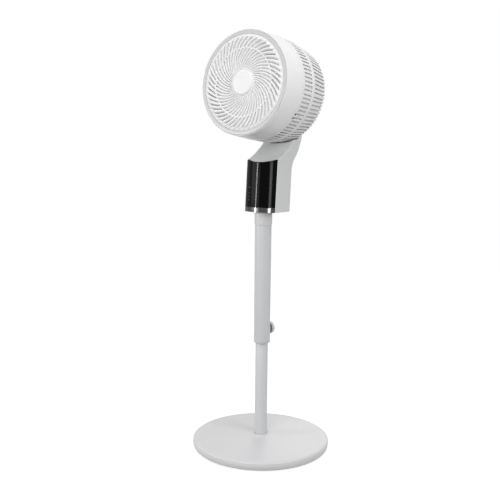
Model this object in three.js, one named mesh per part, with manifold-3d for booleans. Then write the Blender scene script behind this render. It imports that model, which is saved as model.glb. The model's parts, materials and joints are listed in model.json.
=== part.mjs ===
// Air circulator fan on a telescopic stand.
// Millimetres, +Z up. The stand's axis is the Z axis, the floor is z = 0 and the fan blows towards -Y.

import * as THREE from 'three';
import { mergeVertices } from 'three/addons/utils/BufferGeometryUtils.js';
import Module from 'manifold-3d';

const wasm = await Module();
wasm.setup();

const DEGREE = Math.PI / 180;

// ---------------------------------------------------------------- driving dimensions

// Clearance between pieces that touch or slide.
const GAP = 0.3;

// Facets round a large, medium, small and tiny round form.
const LARGE = 32;
const MEDIUM = 16;
const SMALL = 12;
const TINY = 8;

// Base
const BASE_R = 160;
const BASE_RIM_W = 2.7;
const BASE_SIDE_Z = 14;
const BASE_EDGE_Z = 21;
const BASE_CROWN_Z = 29;
const BASE_WALL = 3;
const COLLAR_R = 23;
const COLLAR_RISE = 2;
const PLATE_INSET = 15;
const PLATE_T = 2;
const WEIGHT_INSET = 9;
const WEIGHT_T = 6;
const FOOT_COUNT = 8;
const FOOT_R = 6;
const FOOT_H = 3;
const BOLT_R = 5;
const BOLT_HEAD_R = 8.5;
const BOLT_HEAD_T = 2.4;
const BOLT_REACH = 14;
const BOLT_FACETS = 12;

// Stand tubes
const INNER_TUBE_R = 14.5;
const OUTER_TUBE_R = 19;
const TUBE_WALL = 1.2;
const TUBE_FOOT_R = 28;
const TUBE_FOOT_T = 2.5;
const TUBE_PLUG_L = 20;
const INNER_TUBE_TOP = 305;
const GLIDE_BORE_R = 9;
const GLIDE_PLUG_L = 12;
const GLIDE_L = 10;
const MAST_BOTTOM = 247;
const BUSH_LIP = 5;
const BUSH_CHAMFER = 3.4;
const BUSH_L = 43;
const COLLAR_BOTTOM = 523;
const COLLAR_TOP = 549.7;
const COLLAR_WALL = 0.9;
const COLLAR_OVERLAP = 15;
const COLLAR_PLUG_L = 7;

// Height clamp
const KNOB_Z = 279;
const KNOB_R = 15.5;
const KNOB_T = 11.2;
const KNOB_DOME = 2.6;
const KNOB_HOLLOW = 5;
const KNOB_WALL = 2.2;
const STUD_R = 4;
const STUD_GRIP = 6;
const BOSS_R = 8;
const BOSS_REACH = 3.5;
const SHOE_T = 1.9;

// Swivel at the top of the stand
const POST_R = 9;
const POST_BORE_R = 6;
const POST_TOP = 566;
const POST_SEAT = 24;
const WASHER_T = 1.7;
const WASHER_R = 18.5;
const NECK_BOTTOM = 552;
const RETAINER_R = 12;
const RETAINER_T = 1.7;
const GEAR_MODULE = 1;
const GEAR_T = 5;
const SECTOR_TEETH = 44;
const SECTOR_HALF_ANGLE = 62 * DEGREE;
const PINION_TEETH = 14;
const GEAR_BACKLASH = 0.3;
const PINION_SHAFT_R = 2.4;

// Neck
const NECK_W = 85.2;
const NECK_FRONT_Y = -28;
const NECK_FRONT_CURVE_R = 70;
const NECK_REAR_Y = 46.5;
const NECK_LEAN = Math.tan(3.8 * DEGREE);
const NECK_EDGE_R = 6;
const NECK_FLOOR = 4.3;
const CAVITY_HALF_W = 36;
const CAVITY_FRONT_Y = -13.4;
const CAVITY_TOP = 648;
const COVER_T = 3.5;
const CORNER_POST = 9;
const TRIM_H = 10.7;
const PANEL_T = 2.2;
const PANEL_HALF_W = 41.2;
const NECK_SHOULDER_Z = 650;
const ARM_REAR = [[61.5, 667.5], [75.5, 685], [85.8, 703], [93.5, 723], [104, 765]];
const ARM_FRONT = [[74, 765], [66, 735], [54, 712], [40, 698.5]];
const CRADLE_GAP = 3;
const NECK_SLOPE = [[16, 682], [-8, 669.3], [-22, 662.6], [-45, 652]];
const ARM_TAPER_FROM = 715;
const ARM_TAPER_TO = 795;
const ARM_TOP_W = 62;
const INLET_R = 5.5;
const INLET_SOCKET_R = 3.4;
const INLET_Z = 606;
const SCREW_R = 1.5;
const SCREW_L = 10;
const SCREW_HEAD_R = 3;
const SCREW_HEAD_T = 1.6;
const YAW_MOTOR_R = 14;
const YAW_MOTOR_L = 19;
const BOARD_HALF_W = 30;
const BOARD_BOTTOM = 576;
const BOARD_TOP = 636;
const BOARD_T = 1.6;

// Tilt hinge
const PIVOT_Y = 102;
const PIVOT_Z = 815.4;
const EAR_R = 14;
const FORK_SLOT_HALF_W = 15.2;
const FORK_SLOT_DEPTH = 24;
const PIN_R = 4;
const PIN_HEAD_R = 7;
const PIN_HEAD_T = 2.6;
const LUG_HALF_W = 13.4;
const LUG_R = 12.5;
const FRICTION_WASHER_R = 11;
const REST_TILT = 5.5 * DEGREE;

// Head. Its own frame has +Y along the fan's axis, from the front ring towards the back.
const RING_TO_PIVOT = 182;
const SHELL_FRONT_R = 113.4;
const SHELL_FLARE = 1.6;
const SHELL_DEPTH = 58;
const SHELL_WALL = 2.8;
const SHELL_LIP_Y = -2.2;
const SHELL_LIP_WALL = 1.7;
const SEAT_Y = 4.3;
const SEAT_W = 12.2;
const SPIGOT_L = 4;
const TRIM_W = 8.1;
const TRIM_FACE_Y = -2.8;

// Front grille
const VANE_COUNT = 48;
const VANE_SHARE = 0.45;
const VANE_FLARE = 0.4;
const VANE_SWEEP = 43 * DEGREE;
const VANE_DEPTH = 7;
const VANE_HUB_R = 30;
const VANE_RING_R = 72;
const VANE_RING_W = 3;
const VANE_RIM_W = 8;
const VANE_PHASE_R = 84;
const HUB_RING_R = 28;
const DISH_RIM_Y = -6;
const DISH_HUB_Y = -3;
const HUB_CAP_T = 3;
const HUB_CAP_RISE = 3.6;

// Rear grille
const REAR_RIB_COUNT = 80;
const REAR_RIB_SHARE = 0.52;
const REAR_STEP = 0.6;
const REAR_RING_T = 3.2;
const REAR_RING_W = 4.2;
const REAR_RIB_T = 7;
const REAR_BAND_Y = 94;
const REAR_BAND_W = 9;
const REAR_TAPER = 7.1;
const REAR_CORNER = 4.8;
const REAR_FACE_Y = 161.5;
const REAR_HUB_Y = 162.5;
const REAR_EYE_R = 44;
const REAR_EYE_W = 6;

// Motor, blades and the bracket that carries the head
const MOTOR_COVER_BACK_Y = 163.5;
const MOTOR_COVER_WALL = 3;
const MOTOR_COVER_SKIRT = 11;
const MOTOR_R = 32;
const MOTOR_L = 52;
const MOTOR_NOSE_R = 12;
const MOTOR_NOSE_L = 5;
const MOTOR_BORE_L = 18;
const SHAFT_R = 4;
const SHAFT_FRONT_Y = 24;
const BLADE_COUNT = 5;
const BLADE_TIP_GAP = 7.6;
const BLADE_T = 2.2;
const BLADE_HUB_R = 28;
const BLADE_HUB_FRONT_Y = 30;
const BLADE_HUB_BACK_Y = 68;
const BLADE_MID_Y = 46;
const BLADE_NUT_R = 9;
const BLADE_NUT_T = 7;
const BRACKET_PLATE_R = 20;
const BRACKET_PLATE_T = 1.7;

// ---------------------------------------------------------------- finishes

function finish(hex, roughness, metalness = 0) {
  return () => new THREE.MeshStandardMaterial({ color: hex, roughness, metalness });
}

const whitePlastic = finish(0xf2f2f2, 0.45);
const greyTrim = finish(0xd2d5d9, 0.4);
const paintedSteel = finish(0xdcdcdc, 0.42);
const blackPanel = finish(0x060606, 0.08);
const chrome = finish(0xdfe2e6, 0.08, 1);
const bareSteel = finish(0x8f9295, 0.35, 1);
const castIron = finish(0x3b3b3d, 0.7, 0.6);
const aluminium = finish(0xa9acae, 0.4, 0.9);
const brass = finish(0xb8923f, 0.35, 1);
const nylon = finish(0xe4e2da, 0.5);
const rubber = finish(0x9a9a9a, 0.85);
const circuitBoard = finish(0x23603a, 0.5);
const darkPlastic = finish(0x2a2a2c, 0.5);

// ---------------------------------------------------------------- modelling helpers

function bare(geometry) {
  const copy = geometry.clone();
  copy.deleteAttribute('normal');
  copy.deleteAttribute('uv');
  return mergeVertices(copy, 1e-4);
}

function toSolid(geometry) {
  const welded = bare(geometry);
  const index = welded.index.array;
  const kept = [];
  for (let i = 0; i < index.length; i += 3) {
    const [a, b, c] = [index[i], index[i + 1], index[i + 2]];
    if (a !== b && b !== c && c !== a) kept.push(a, b, c);
  }
  const mesh = new wasm.Mesh({
    numProp: 3,
    vertProperties: Float32Array.from(welded.attributes.position.array),
    triVerts: Uint32Array.from(kept),
  });
  return new wasm.Manifold(mesh);
}

function toGeometry(solid) {
  const mesh = solid.getMesh();
  const geometry = new THREE.BufferGeometry();
  geometry.setAttribute('position', new THREE.BufferAttribute(mesh.vertProperties, 3));
  geometry.setIndex(new THREE.BufferAttribute(mesh.triVerts, 1));
  geometry.computeVertexNormals();
  return geometry;
}

function cut(geometry, ...tools) {
  let solid = toSolid(geometry);
  for (const tool of tools) solid = solid.subtract(toSolid(tool));
  return toGeometry(solid);
}

function join(geometry, ...others) {
  let solid = toSolid(geometry);
  for (const other of others) solid = solid.add(toSolid(other));
  return toGeometry(solid);
}

function common(geometry, ...others) {
  let solid = toSolid(geometry);
  for (const other of others) solid = solid.intersect(toSolid(other));
  return toGeometry(solid);
}

// Revolves a closed [radius, y] outline, drawn counter-clockwise, about the Y axis.
function turnedAboutY(outline, segments = MEDIUM) {
  const points = outline.map(([r, y]) => new THREE.Vector2(r, y));
  if (outline[0][0] > 0) points.push(points[0].clone());
  return new THREE.LatheGeometry(points, segments);
}

function turned(outline, segments = MEDIUM) {
  return turnedAboutY(outline, segments).rotateX(Math.PI / 2);
}

function ring(innerR, outerR, z0, z1, segments = SMALL) {
  const outline = [[innerR, z0], [outerR, z0], [outerR, z1], [innerR, z1]];
  return turned(outline, segments);
}

function rod(radius, z0, z1, segments = SMALL) {
  const geometry = new THREE.CylinderGeometry(radius, radius, z1 - z0, segments);
  return geometry.rotateX(Math.PI / 2).translate(0, 0, (z0 + z1) / 2);
}

function rodAlongX(radius, x0, x1, segments = SMALL) {
  const geometry = new THREE.CylinderGeometry(radius, radius, x1 - x0, segments);
  return geometry.rotateZ(Math.PI / 2).translate((x0 + x1) / 2, 0, 0);
}

function rodAlongY(radius, y0, y1, segments = SMALL) {
  const geometry = new THREE.CylinderGeometry(radius, radius, y1 - y0, segments);
  return geometry.translate(0, (y0 + y1) / 2, 0);
}

function box(x0, x1, y0, y1, z0, z1) {
  const geometry = new THREE.BoxGeometry(x1 - x0, y1 - y0, z1 - z0);
  return geometry.translate((x0 + x1) / 2, (y0 + y1) / 2, (z0 + z1) / 2);
}

// Extrudes a plan outline upwards from z0 to z1, leaning back with the neck.
function leaningPrism(shape, z0, z1) {
  const geometry = new THREE.ExtrudeGeometry(shape, {
    depth: z1 - z0,
    bevelEnabled: false,
    curveSegments: 6,
  });
  geometry.translate(0, 0, z0 - NECK_BOTTOM);
  const lean = new THREE.Matrix4().set(1, 0, 0, 0, 0, 1, NECK_LEAN, 0, 0, 0, 1, 0, 0, 0, 0, 1);
  return geometry.applyMatrix4(lean).translate(0, 0, NECK_BOTTOM);
}

function leaningBox(x0, x1, y0, y1, z0, z1) {
  const corners = [[x0, y0], [x1, y0], [x1, y1], [x0, y1]];
  const shape = new THREE.Shape(corners.map(([x, y]) => new THREE.Vector2(x, y)));
  return leaningPrism(shape, z0, z1);
}

function leanAt(z) {
  return (z - NECK_BOTTOM) * NECK_LEAN;
}

// A shell of revolution about Y, pierced between its ribs. Each rib has a flat outer face and draws
// in to one inner edge. Each station has an outer and an inner [radius, y] point, a twist angle and
// the share of the pitch that a rib takes up; open says that the stretch to the next station is cut
// away between the ribs.
function ribbedShell(stations, ribCount) {
  const last = stations.length - 1;
  const pitch = (2 * Math.PI) / ribCount;
  const positions = [];
  const faces = [];
  const push = ([r, y], angle) => positions.push(r * Math.cos(angle), y, r * Math.sin(angle));
  for (const { outer, inner, twist, share } of stations) {
    for (let k = 0; k < ribCount; k++) {
      push(outer, twist + (k - share / 2) * pitch);
      push(outer, twist + (k + share / 2) * pitch);
      push(inner, twist + k * pitch);
    }
  }
  const left = (i, k) => 3 * (i * ribCount + (k % ribCount));
  const right = (i, k) => left(i, k) + 1;
  const edge = (i, k) => left(i, k) + 2;
  const quad = (a, b, c, d) => faces.push(a, b, c, a, c, d);
  const isClosed = (i) => i >= 0 && i < last && !stations[i].open;
  for (let k = 0; k < ribCount; k++) {
    for (let i = 0; i < last; i++) {
      quad(left(i, k), left(i + 1, k), right(i + 1, k), right(i, k));
      if (isClosed(i)) {
        quad(right(i, k), right(i + 1, k), left(i + 1, k + 1), left(i, k + 1));
        quad(edge(i, k), edge(i, k + 1), edge(i + 1, k + 1), edge(i + 1, k));
      } else {
        quad(right(i, k), right(i + 1, k), edge(i + 1, k), edge(i, k));
        quad(left(i, k + 1), edge(i, k + 1), edge(i + 1, k + 1), left(i + 1, k + 1));
      }
    }
    for (let i = 0; i <= last; i++) {
      const before = isClosed(i - 1);
      const after = isClosed(i);
      if (after && !before) quad(right(i, k), left(i, k + 1), edge(i, k + 1), edge(i, k));
      if (before && !after) quad(right(i, k), edge(i, k), edge(i, k + 1), left(i, k + 1));
    }
    faces.push(left(0, k), right(0, k), edge(0, k));
    faces.push(left(last, k), edge(last, k), right(last, k));
  }
  const geometry = new THREE.BufferGeometry();
  geometry.setAttribute('position', new THREE.Float32BufferAttribute(positions, 3));
  geometry.setIndex(faces);
  geometry.computeVertexNormals();
  return geometry;
}

function named(name, geometry, material) {
  const mesh = new THREE.Mesh(geometry, material());
  mesh.name = name;
  return mesh;
}

// ---------------------------------------------------------------- radii of the head

const shellRearR = SHELL_FRONT_R + SHELL_FLARE;
const lipInnerR = SHELL_FRONT_R - SHELL_LIP_WALL;
const seatR = lipInnerR - SEAT_W;
const trimOuterR = lipInnerR - GAP;
const trimInnerR = trimOuterR - TRIM_W;
const vaneRimR = trimInnerR - GAP - VANE_RIM_W;
const rearR = shellRearR + REAR_STEP;
const bladeTipR = SHELL_FRONT_R - SHELL_WALL - BLADE_TIP_GAP;
const basketBackR = rearR - REAR_TAPER;
const bandEndY = REAR_BAND_Y + REAR_BAND_W;

// ---------------------------------------------------------------- base

const plateR = BASE_R - PLATE_INSET;
const plateBottom = FOOT_H + GAP;
const plateTop = plateBottom + PLATE_T;
const weightBottom = plateTop + GAP;
const weightTop = weightBottom + WEIGHT_T;
const footBottom = weightTop + GAP;
const tubeBottom = footBottom + TUBE_FOOT_T + GAP;

function crownHeight(r) {
  const share = r / BASE_R;
  return BASE_EDGE_Z + (BASE_CROWN_Z - BASE_EDGE_Z) * (1 - share * share);
}

function baseCover() {
  const holeR = INNER_TUBE_R + GAP;
  const crown = (r, sink = 0) => [r, crownHeight(r) - sink];
  const outline = [
    [plateR + GAP, plateBottom],
    [plateR + GAP + BASE_RIM_W, plateBottom],
    [BASE_R - 4, plateBottom + 4.5],
    [BASE_R, BASE_SIDE_Z],
    [BASE_R - 1, BASE_EDGE_Z - 2.5],
    crown(BASE_R - 5),
    crown((BASE_R + COLLAR_R) / 2),
    crown(COLLAR_R + 1),
    [COLLAR_R, BASE_CROWN_Z + COLLAR_RISE],
    [holeR, BASE_CROWN_Z + COLLAR_RISE],
    [holeR, BASE_CROWN_Z - BASE_WALL],
    crown(BASE_R - 12, BASE_WALL),
    [plateR + GAP, plateBottom + 4],
  ];
  return turned(outline, LARGE);
}

function basePlate() {
  return ring(BOLT_R + GAP, plateR, plateBottom, plateTop, LARGE);
}

function baseWeight() {
  return ring(BOLT_R + GAP, plateR - WEIGHT_INSET, weightBottom, weightTop, MEDIUM);
}

function baseBolt() {
  const headTop = plateBottom - GAP;
  const outline = [
    [0, headTop - BOLT_HEAD_T],
    [BOLT_HEAD_R, headTop - BOLT_HEAD_T],
    [BOLT_HEAD_R, headTop],
    [BOLT_R, headTop],
    [BOLT_R, tubeBottom + BOLT_REACH],
    [0, tubeBottom + BOLT_REACH],
  ];
  return turned(outline, BOLT_FACETS);
}

function baseFoot() {
  const outline = [[0, 0], [FOOT_R - 0.5, 0], [FOOT_R, FOOT_H], [0, FOOT_H]];
  return turned(outline, TINY);
}

function addBase(group) {
  group.add(named('base_cover', baseCover(), whitePlastic));
  group.add(named('base_plate', basePlate(), darkPlastic));
  group.add(named('base_weight', baseWeight(), castIron));
  group.add(named('base_bolt', baseBolt(), bareSteel));
  for (let i = 0; i < FOOT_COUNT; i++) {
    const angle = (2 * Math.PI * i) / FOOT_COUNT;
    const foot = named(`base_foot_${i + 1}`, baseFoot(), rubber);
    const reach = plateR - FOOT_R;
    foot.position.set(reach * Math.cos(angle), reach * Math.sin(angle), 0);
    group.add(foot);
  }
}

// ---------------------------------------------------------------- stand tubes

const innerTubeBore = INNER_TUBE_R - TUBE_WALL;
const outerTubeBore = OUTER_TUBE_R - TUBE_WALL;
const outerTubeBottom = MAST_BOTTOM + BUSH_LIP + GAP;
const outerTubeTop = COLLAR_BOTTOM + COLLAR_OVERLAP;

function tubeFoot() {
  return ring(BOLT_R + GAP, TUBE_FOOT_R, footBottom, footBottom + TUBE_FOOT_T, MEDIUM);
}

function innerTube() {
  return ring(innerTubeBore, INNER_TUBE_R, tubeBottom, INNER_TUBE_TOP, MEDIUM);
}

function tubePlug() {
  return ring(BOLT_R + GAP, innerTubeBore - GAP, tubeBottom, tubeBottom + TUBE_PLUG_L, MEDIUM);
}

function tubeGlide() {
  const seat = INNER_TUBE_TOP + GAP;
  const outline = [
    [GLIDE_BORE_R, INNER_TUBE_TOP - GLIDE_PLUG_L],
    [innerTubeBore - GAP, INNER_TUBE_TOP - GLIDE_PLUG_L],
    [innerTubeBore - GAP, seat],
    [outerTubeBore - GAP, seat],
    [outerTubeBore - GAP, seat + GLIDE_L],
    [GLIDE_BORE_R, seat + GLIDE_L],
  ];
  return turned(outline);
}

function clampHole(radius) {
  return rodAlongY(radius, 0, OUTER_TUBE_R + 5).translate(0, 0, KNOB_Z);
}

function outerTube() {
  const wall = ring(outerTubeBore, OUTER_TUBE_R, outerTubeBottom, outerTubeTop, MEDIUM);
  return cut(wall, clampHole(STUD_R + 2 * GAP));
}

function lowerBush() {
  const slideR = INNER_TUBE_R + GAP;
  const lipTop = MAST_BOTTOM + BUSH_LIP;
  const outline = [
    [slideR, MAST_BOTTOM],
    [OUTER_TUBE_R - BUSH_CHAMFER, MAST_BOTTOM],
    [OUTER_TUBE_R, MAST_BOTTOM + BUSH_CHAMFER],
    [OUTER_TUBE_R, lipTop],
    [outerTubeBore - GAP, lipTop],
    [outerTubeBore - GAP, MAST_BOTTOM + BUSH_L],
    [slideR, MAST_BOTTOM + BUSH_L],
  ];
  return cut(turned(outline), clampHole(STUD_R + GAP));
}

function topCollar() {
  const grooveTop = outerTubeTop + GAP;
  const outerR = OUTER_TUBE_R + GAP + COLLAR_WALL;
  const outline = [
    [POST_R + GAP, COLLAR_BOTTOM - COLLAR_PLUG_L],
    [outerTubeBore - GAP, COLLAR_BOTTOM - COLLAR_PLUG_L],
    [outerTubeBore - GAP, grooveTop],
    [OUTER_TUBE_R + GAP, grooveTop],
    [OUTER_TUBE_R + GAP, COLLAR_BOTTOM],
    [outerR, COLLAR_BOTTOM],
    [outerR, COLLAR_TOP],
    [POST_R + GAP, COLLAR_TOP],
  ];
  return turned(outline);
}

function addTubes(group) {
  group.add(named('tube_foot', tubeFoot(), bareSteel));
  group.add(named('inner_tube', innerTube(), paintedSteel));
  group.add(named('tube_plug', tubePlug(), bareSteel));
  group.add(named('tube_glide', tubeGlide(), nylon));
  group.add(named('outer_tube', outerTube(), paintedSteel));
  group.add(named('lower_bush', lowerBush(), whitePlastic));
  group.add(named('top_collar', topCollar(), whitePlastic));
}

// ---------------------------------------------------------------- height clamp

const shoeInnerY = INNER_TUBE_R + GAP;
const shoeOuterY = shoeInnerY + SHOE_T;
const bossOuterY = OUTER_TUBE_R + BOSS_REACH;
const knobInnerY = bossOuterY + GAP;
const knobOuterY = knobInnerY + KNOB_T;

function clampBoss() {
  const blank = rodAlongY(BOSS_R, OUTER_TUBE_R - 4, bossOuterY);
  const saddle = rod(OUTER_TUBE_R + GAP, -30, 30, MEDIUM);
  const bore = rodAlongY(STUD_R + GAP, 0, bossOuterY + 5);
  return cut(blank, saddle, bore);
}

function clampShoe() {
  return rodAlongY(STUD_R - 0.2, shoeInnerY, shoeOuterY);
}

function knobStud() {
  return rodAlongY(STUD_R, shoeOuterY + GAP, knobInnerY + STUD_GRIP);
}

function heightKnob() {
  const hollowR = KNOB_R - KNOB_WALL;
  const coreR = BOSS_R - 1;
  const boreR = STUD_R + GAP;
  const outline = [
    [0, knobInnerY + STUD_GRIP + GAP],
    [boreR, knobInnerY + STUD_GRIP + GAP],
    [boreR, knobInnerY],
    [coreR, knobInnerY],
    [coreR, knobInnerY + KNOB_HOLLOW],
    [hollowR, knobInnerY + KNOB_HOLLOW],
    [hollowR, knobInnerY],
    [KNOB_R, knobInnerY],
    [KNOB_R, knobOuterY - KNOB_DOME],
    [KNOB_R - 1.8, knobOuterY - 0.9],
    [KNOB_R - 5, knobOuterY],
    [0, knobOuterY],
  ];
  return turnedAboutY(outline);
}

function addClamp(group) {
  const clamp = new THREE.Group();
  clamp.position.z = KNOB_Z;
  clamp.add(named('clamp_boss', clampBoss(), bareSteel));
  clamp.add(named('clamp_shoe', clampShoe(), brass));
  clamp.add(named('knob_stud', knobStud(), bareSteel));
  clamp.add(named('height_knob', heightKnob(), whitePlastic));
  group.add(clamp);
}

// ---------------------------------------------------------------- swivel

const washerBottom = COLLAR_TOP + GAP;
const retainerBottom = NECK_BOTTOM + NECK_FLOOR + GAP;
const gearBottom = retainerBottom + RETAINER_T + GAP;
const sectorPitchR = (GEAR_MODULE * SECTOR_TEETH) / 2;
const pinionPitchR = (GEAR_MODULE * PINION_TEETH) / 2;
const gearCentres = sectorPitchR + pinionPitchR + 0.1;

// Polar points of one tooth of an involute gear, centred on the given angle.
function toothPoints(teeth, centre) {
  const pitchR = (GEAR_MODULE * teeth) / 2;
  const baseR = pitchR * Math.cos(20 * DEGREE);
  const halfAtPitch = Math.PI / (2 * teeth) - GEAR_BACKLASH / (4 * pitchR);
  const involute = (r) => {
    const along = Math.sqrt(Math.max(0, (r * r) / (baseR * baseR) - 1));
    return along - Math.atan(along);
  };
  const halfAt = (r) => halfAtPitch + involute(pitchR) - involute(r);
  const radii = [pitchR - 1.2 * GEAR_MODULE, pitchR, pitchR + 0.9 * GEAR_MODULE];
  const rising = radii.map((r) => [r, centre - halfAt(r)]);
  const falling = radii.map((r) => [r, centre + halfAt(r)]).reverse();
  return [...rising, ...falling];
}

function gearOutline(teeth, centres) {
  const points = centres.flatMap((centre) => toothPoints(teeth, centre));
  return points.map(([r, a]) => new THREE.Vector2(r * Math.cos(a), r * Math.sin(a)));
}

function yawSector() {
  const pitch = (2 * Math.PI) / SECTOR_TEETH;
  const reach = Math.floor(SECTOR_HALF_ANGLE / pitch);
  const centres = [];
  for (let i = -reach; i <= reach; i++) centres.push(Math.PI / 2 + i * pitch);
  const teeth = gearOutline(SECTOR_TEETH, centres);
  const shape = new THREE.Shape([new THREE.Vector2(0, 0), ...teeth]);
  const blade = new THREE.ExtrudeGeometry(shape, { depth: GEAR_T, bevelEnabled: false });
  const hub = rod(RETAINER_R, 0, GEAR_T);
  const bore = rod(POST_R + GAP, -1, GEAR_T + 1, MEDIUM);
  return cut(join(blade, hub), bore).translate(0, 0, gearBottom);
}

function yawPinion() {
  const pitch = (2 * Math.PI) / PINION_TEETH;
  const centres = [];
  for (let i = 0; i < PINION_TEETH; i++) centres.push(-Math.PI / 2 + (i + 0.5) * pitch);
  const shape = new THREE.Shape(gearOutline(PINION_TEETH, centres));
  const wheel = new THREE.ExtrudeGeometry(shape, { depth: GEAR_T, bevelEnabled: false });
  const shaftTop = bracketTop - gearBottom + 12;
  const pinion = join(wheel, rod(PINION_SHAFT_R, GEAR_T - 1, shaftTop, TINY));
  return pinion.translate(0, gearCentres, gearBottom);
}

function addSwivel(group) {
  const postBottom = COLLAR_TOP - POST_SEAT;
  const post = ring(POST_BORE_R, POST_R, postBottom, POST_TOP, MEDIUM);
  group.add(named('yaw_post', post, bareSteel));
  const washer = ring(POST_R + GAP, WASHER_R, washerBottom, washerBottom + WASHER_T, MEDIUM);
  group.add(named('thrust_washer', washer, nylon));
  const retainerTop = retainerBottom + RETAINER_T;
  const retainer = ring(POST_R + GAP, RETAINER_R, retainerBottom, retainerTop, MEDIUM);
  group.add(named('retaining_ring', retainer, bareSteel));
  group.add(named('yaw_sector', yawSector(), nylon));
  group.add(named('yaw_pinion', yawPinion(), nylon));
}

// ---------------------------------------------------------------- neck

const cavityFloor = NECK_BOTTOM + NECK_FLOOR;
const postTop = cavityFloor + CORNER_POST + 2;
const bracketBottom = postTop + GAP;
const bracketTop = bracketBottom + 2.5;
const coverInnerY = NECK_REAR_Y - COVER_T;
const trimTop = NECK_BOTTOM + TRIM_H;
const ABOVE_ALL = 900;
const AHEAD_Y = -80;
const BEHIND_Y = 75;

// Plan outline with the convex front, straight sides and a back at rearY.
function frontOutline(halfWidth, rearY) {
  const centreY = NECK_FRONT_Y + NECK_FRONT_CURVE_R;
  const halfAngle = Math.asin(halfWidth / NECK_FRONT_CURVE_R);
  const shape = new THREE.Shape();
  const down = -Math.PI / 2;
  shape.absarc(0, centreY, NECK_FRONT_CURVE_R, down - halfAngle, down + halfAngle, false);
  shape.lineTo(halfWidth, rearY);
  shape.lineTo(-halfWidth, rearY);
  return shape;
}

// Side view of the neck and of the arm that rises behind the head, as [y, z].
function sideShape() {
  const toVectors = (points) => points.map(([y, z]) => new THREE.Vector2(y, z));
  const frontY = NECK_SLOPE[NECK_SLOPE.length - 1][0];
  const shape = new THREE.Shape();
  shape.moveTo(frontY, NECK_BOTTOM - 2 * NECK_EDGE_R);
  shape.lineTo(NECK_REAR_Y - 0.8, NECK_BOTTOM - 2 * NECK_EDGE_R);
  shape.lineTo(NECK_REAR_Y + leanAt(NECK_SHOULDER_Z), NECK_SHOULDER_Z);
  shape.splineThru(toVectors([...ARM_REAR, [PIVOT_Y + EAR_R, PIVOT_Z]]));
  shape.absarc(PIVOT_Y, PIVOT_Z, EAR_R, 0, Math.PI, false);
  shape.splineThru(toVectors([...ARM_FRONT, ...NECK_SLOPE]));
  return shape;
}

function taperArm(geometry) {
  const position = geometry.attributes.position;
  for (let i = 0; i < position.count; i++) {
    const rise = (position.getZ(i) - ARM_TAPER_FROM) / (ARM_TAPER_TO - ARM_TAPER_FROM);
    const share = Math.min(Math.max(rise, 0), 1);
    position.setX(i, position.getX(i) * (1 - share * (1 - ARM_TOP_W / NECK_W)));
  }
  return geometry;
}

// Puts a geometry drawn in the head's own frame in its place at rest.
function placedAsHead(geometry) {
  const y = PIVOT_Y - RING_TO_PIVOT * Math.cos(REST_TILT);
  const z = PIVOT_Z + RING_TO_PIVOT * Math.sin(REST_TILT);
  return geometry.rotateX(-REST_TILT).translate(0, y, z);
}

// The room that the head's basket needs, which scoops the arm out behind and below it.
function cradleSpace() {
  const outline = [
    [0, SHELL_DEPTH],
    [rearR + CRADLE_GAP, SHELL_DEPTH],
    [rearR + CRADLE_GAP, bandEndY],
    [basketBackR + CRADLE_GAP, REAR_FACE_Y - REAR_CORNER],
    [basketBackR + CRADLE_GAP - REAR_CORNER, REAR_FACE_Y + CRADLE_GAP],
    [0, REAR_HUB_Y + CRADLE_GAP],
  ];
  return placedAsHead(turnedAboutY(outline, LARGE));
}

function neckBlank() {
  const side = new THREE.ExtrudeGeometry(sideShape(), {
    depth: NECK_W - 2 * NECK_EDGE_R,
    bevelSize: NECK_EDGE_R,
    bevelThickness: NECK_EDGE_R,
    bevelOffset: -NECK_EDGE_R,
    bevelSegments: 2,
    curveSegments: 2,
  });
  const yzx = new THREE.Matrix4().makeBasis(
    new THREE.Vector3(0, 1, 0),
    new THREE.Vector3(0, 0, 1),
    new THREE.Vector3(1, 0, 0),
  );
  side.translate(0, 0, NECK_EDGE_R - NECK_W / 2).applyMatrix4(yzx);
  const front = leaningPrism(frontOutline(NECK_W / 2, 150), NECK_BOTTOM, ABOVE_ALL);
  const earsBottom = PIVOT_Z - EAR_R;
  const beside = box(ARM_TOP_W / 2, NECK_W, 0, 150, earsBottom, ABOVE_ALL);
  const otherSide = beside.clone().translate(-NECK_W - ARM_TOP_W / 2, 0, 0);
  return cut(common(taperArm(side), front), beside, otherSide, cradleSpace());
}

// Everything in front of a surface that lies at the given depth under the convex front.
function frontSlice(halfWidth, depth, z0, z1) {
  const radius = NECK_FRONT_CURVE_R - depth;
  const halfAngle = Math.asin(halfWidth / radius);
  const shape = new THREE.Shape();
  shape.moveTo(-halfWidth, AHEAD_Y);
  shape.lineTo(halfWidth, AHEAD_Y);
  const centreY = NECK_FRONT_Y + NECK_FRONT_CURVE_R;
  shape.absarc(0, centreY, radius, -Math.PI / 2 + halfAngle, -Math.PI / 2 - halfAngle, true);
  return leaningPrism(shape, z0, z1);
}

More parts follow.
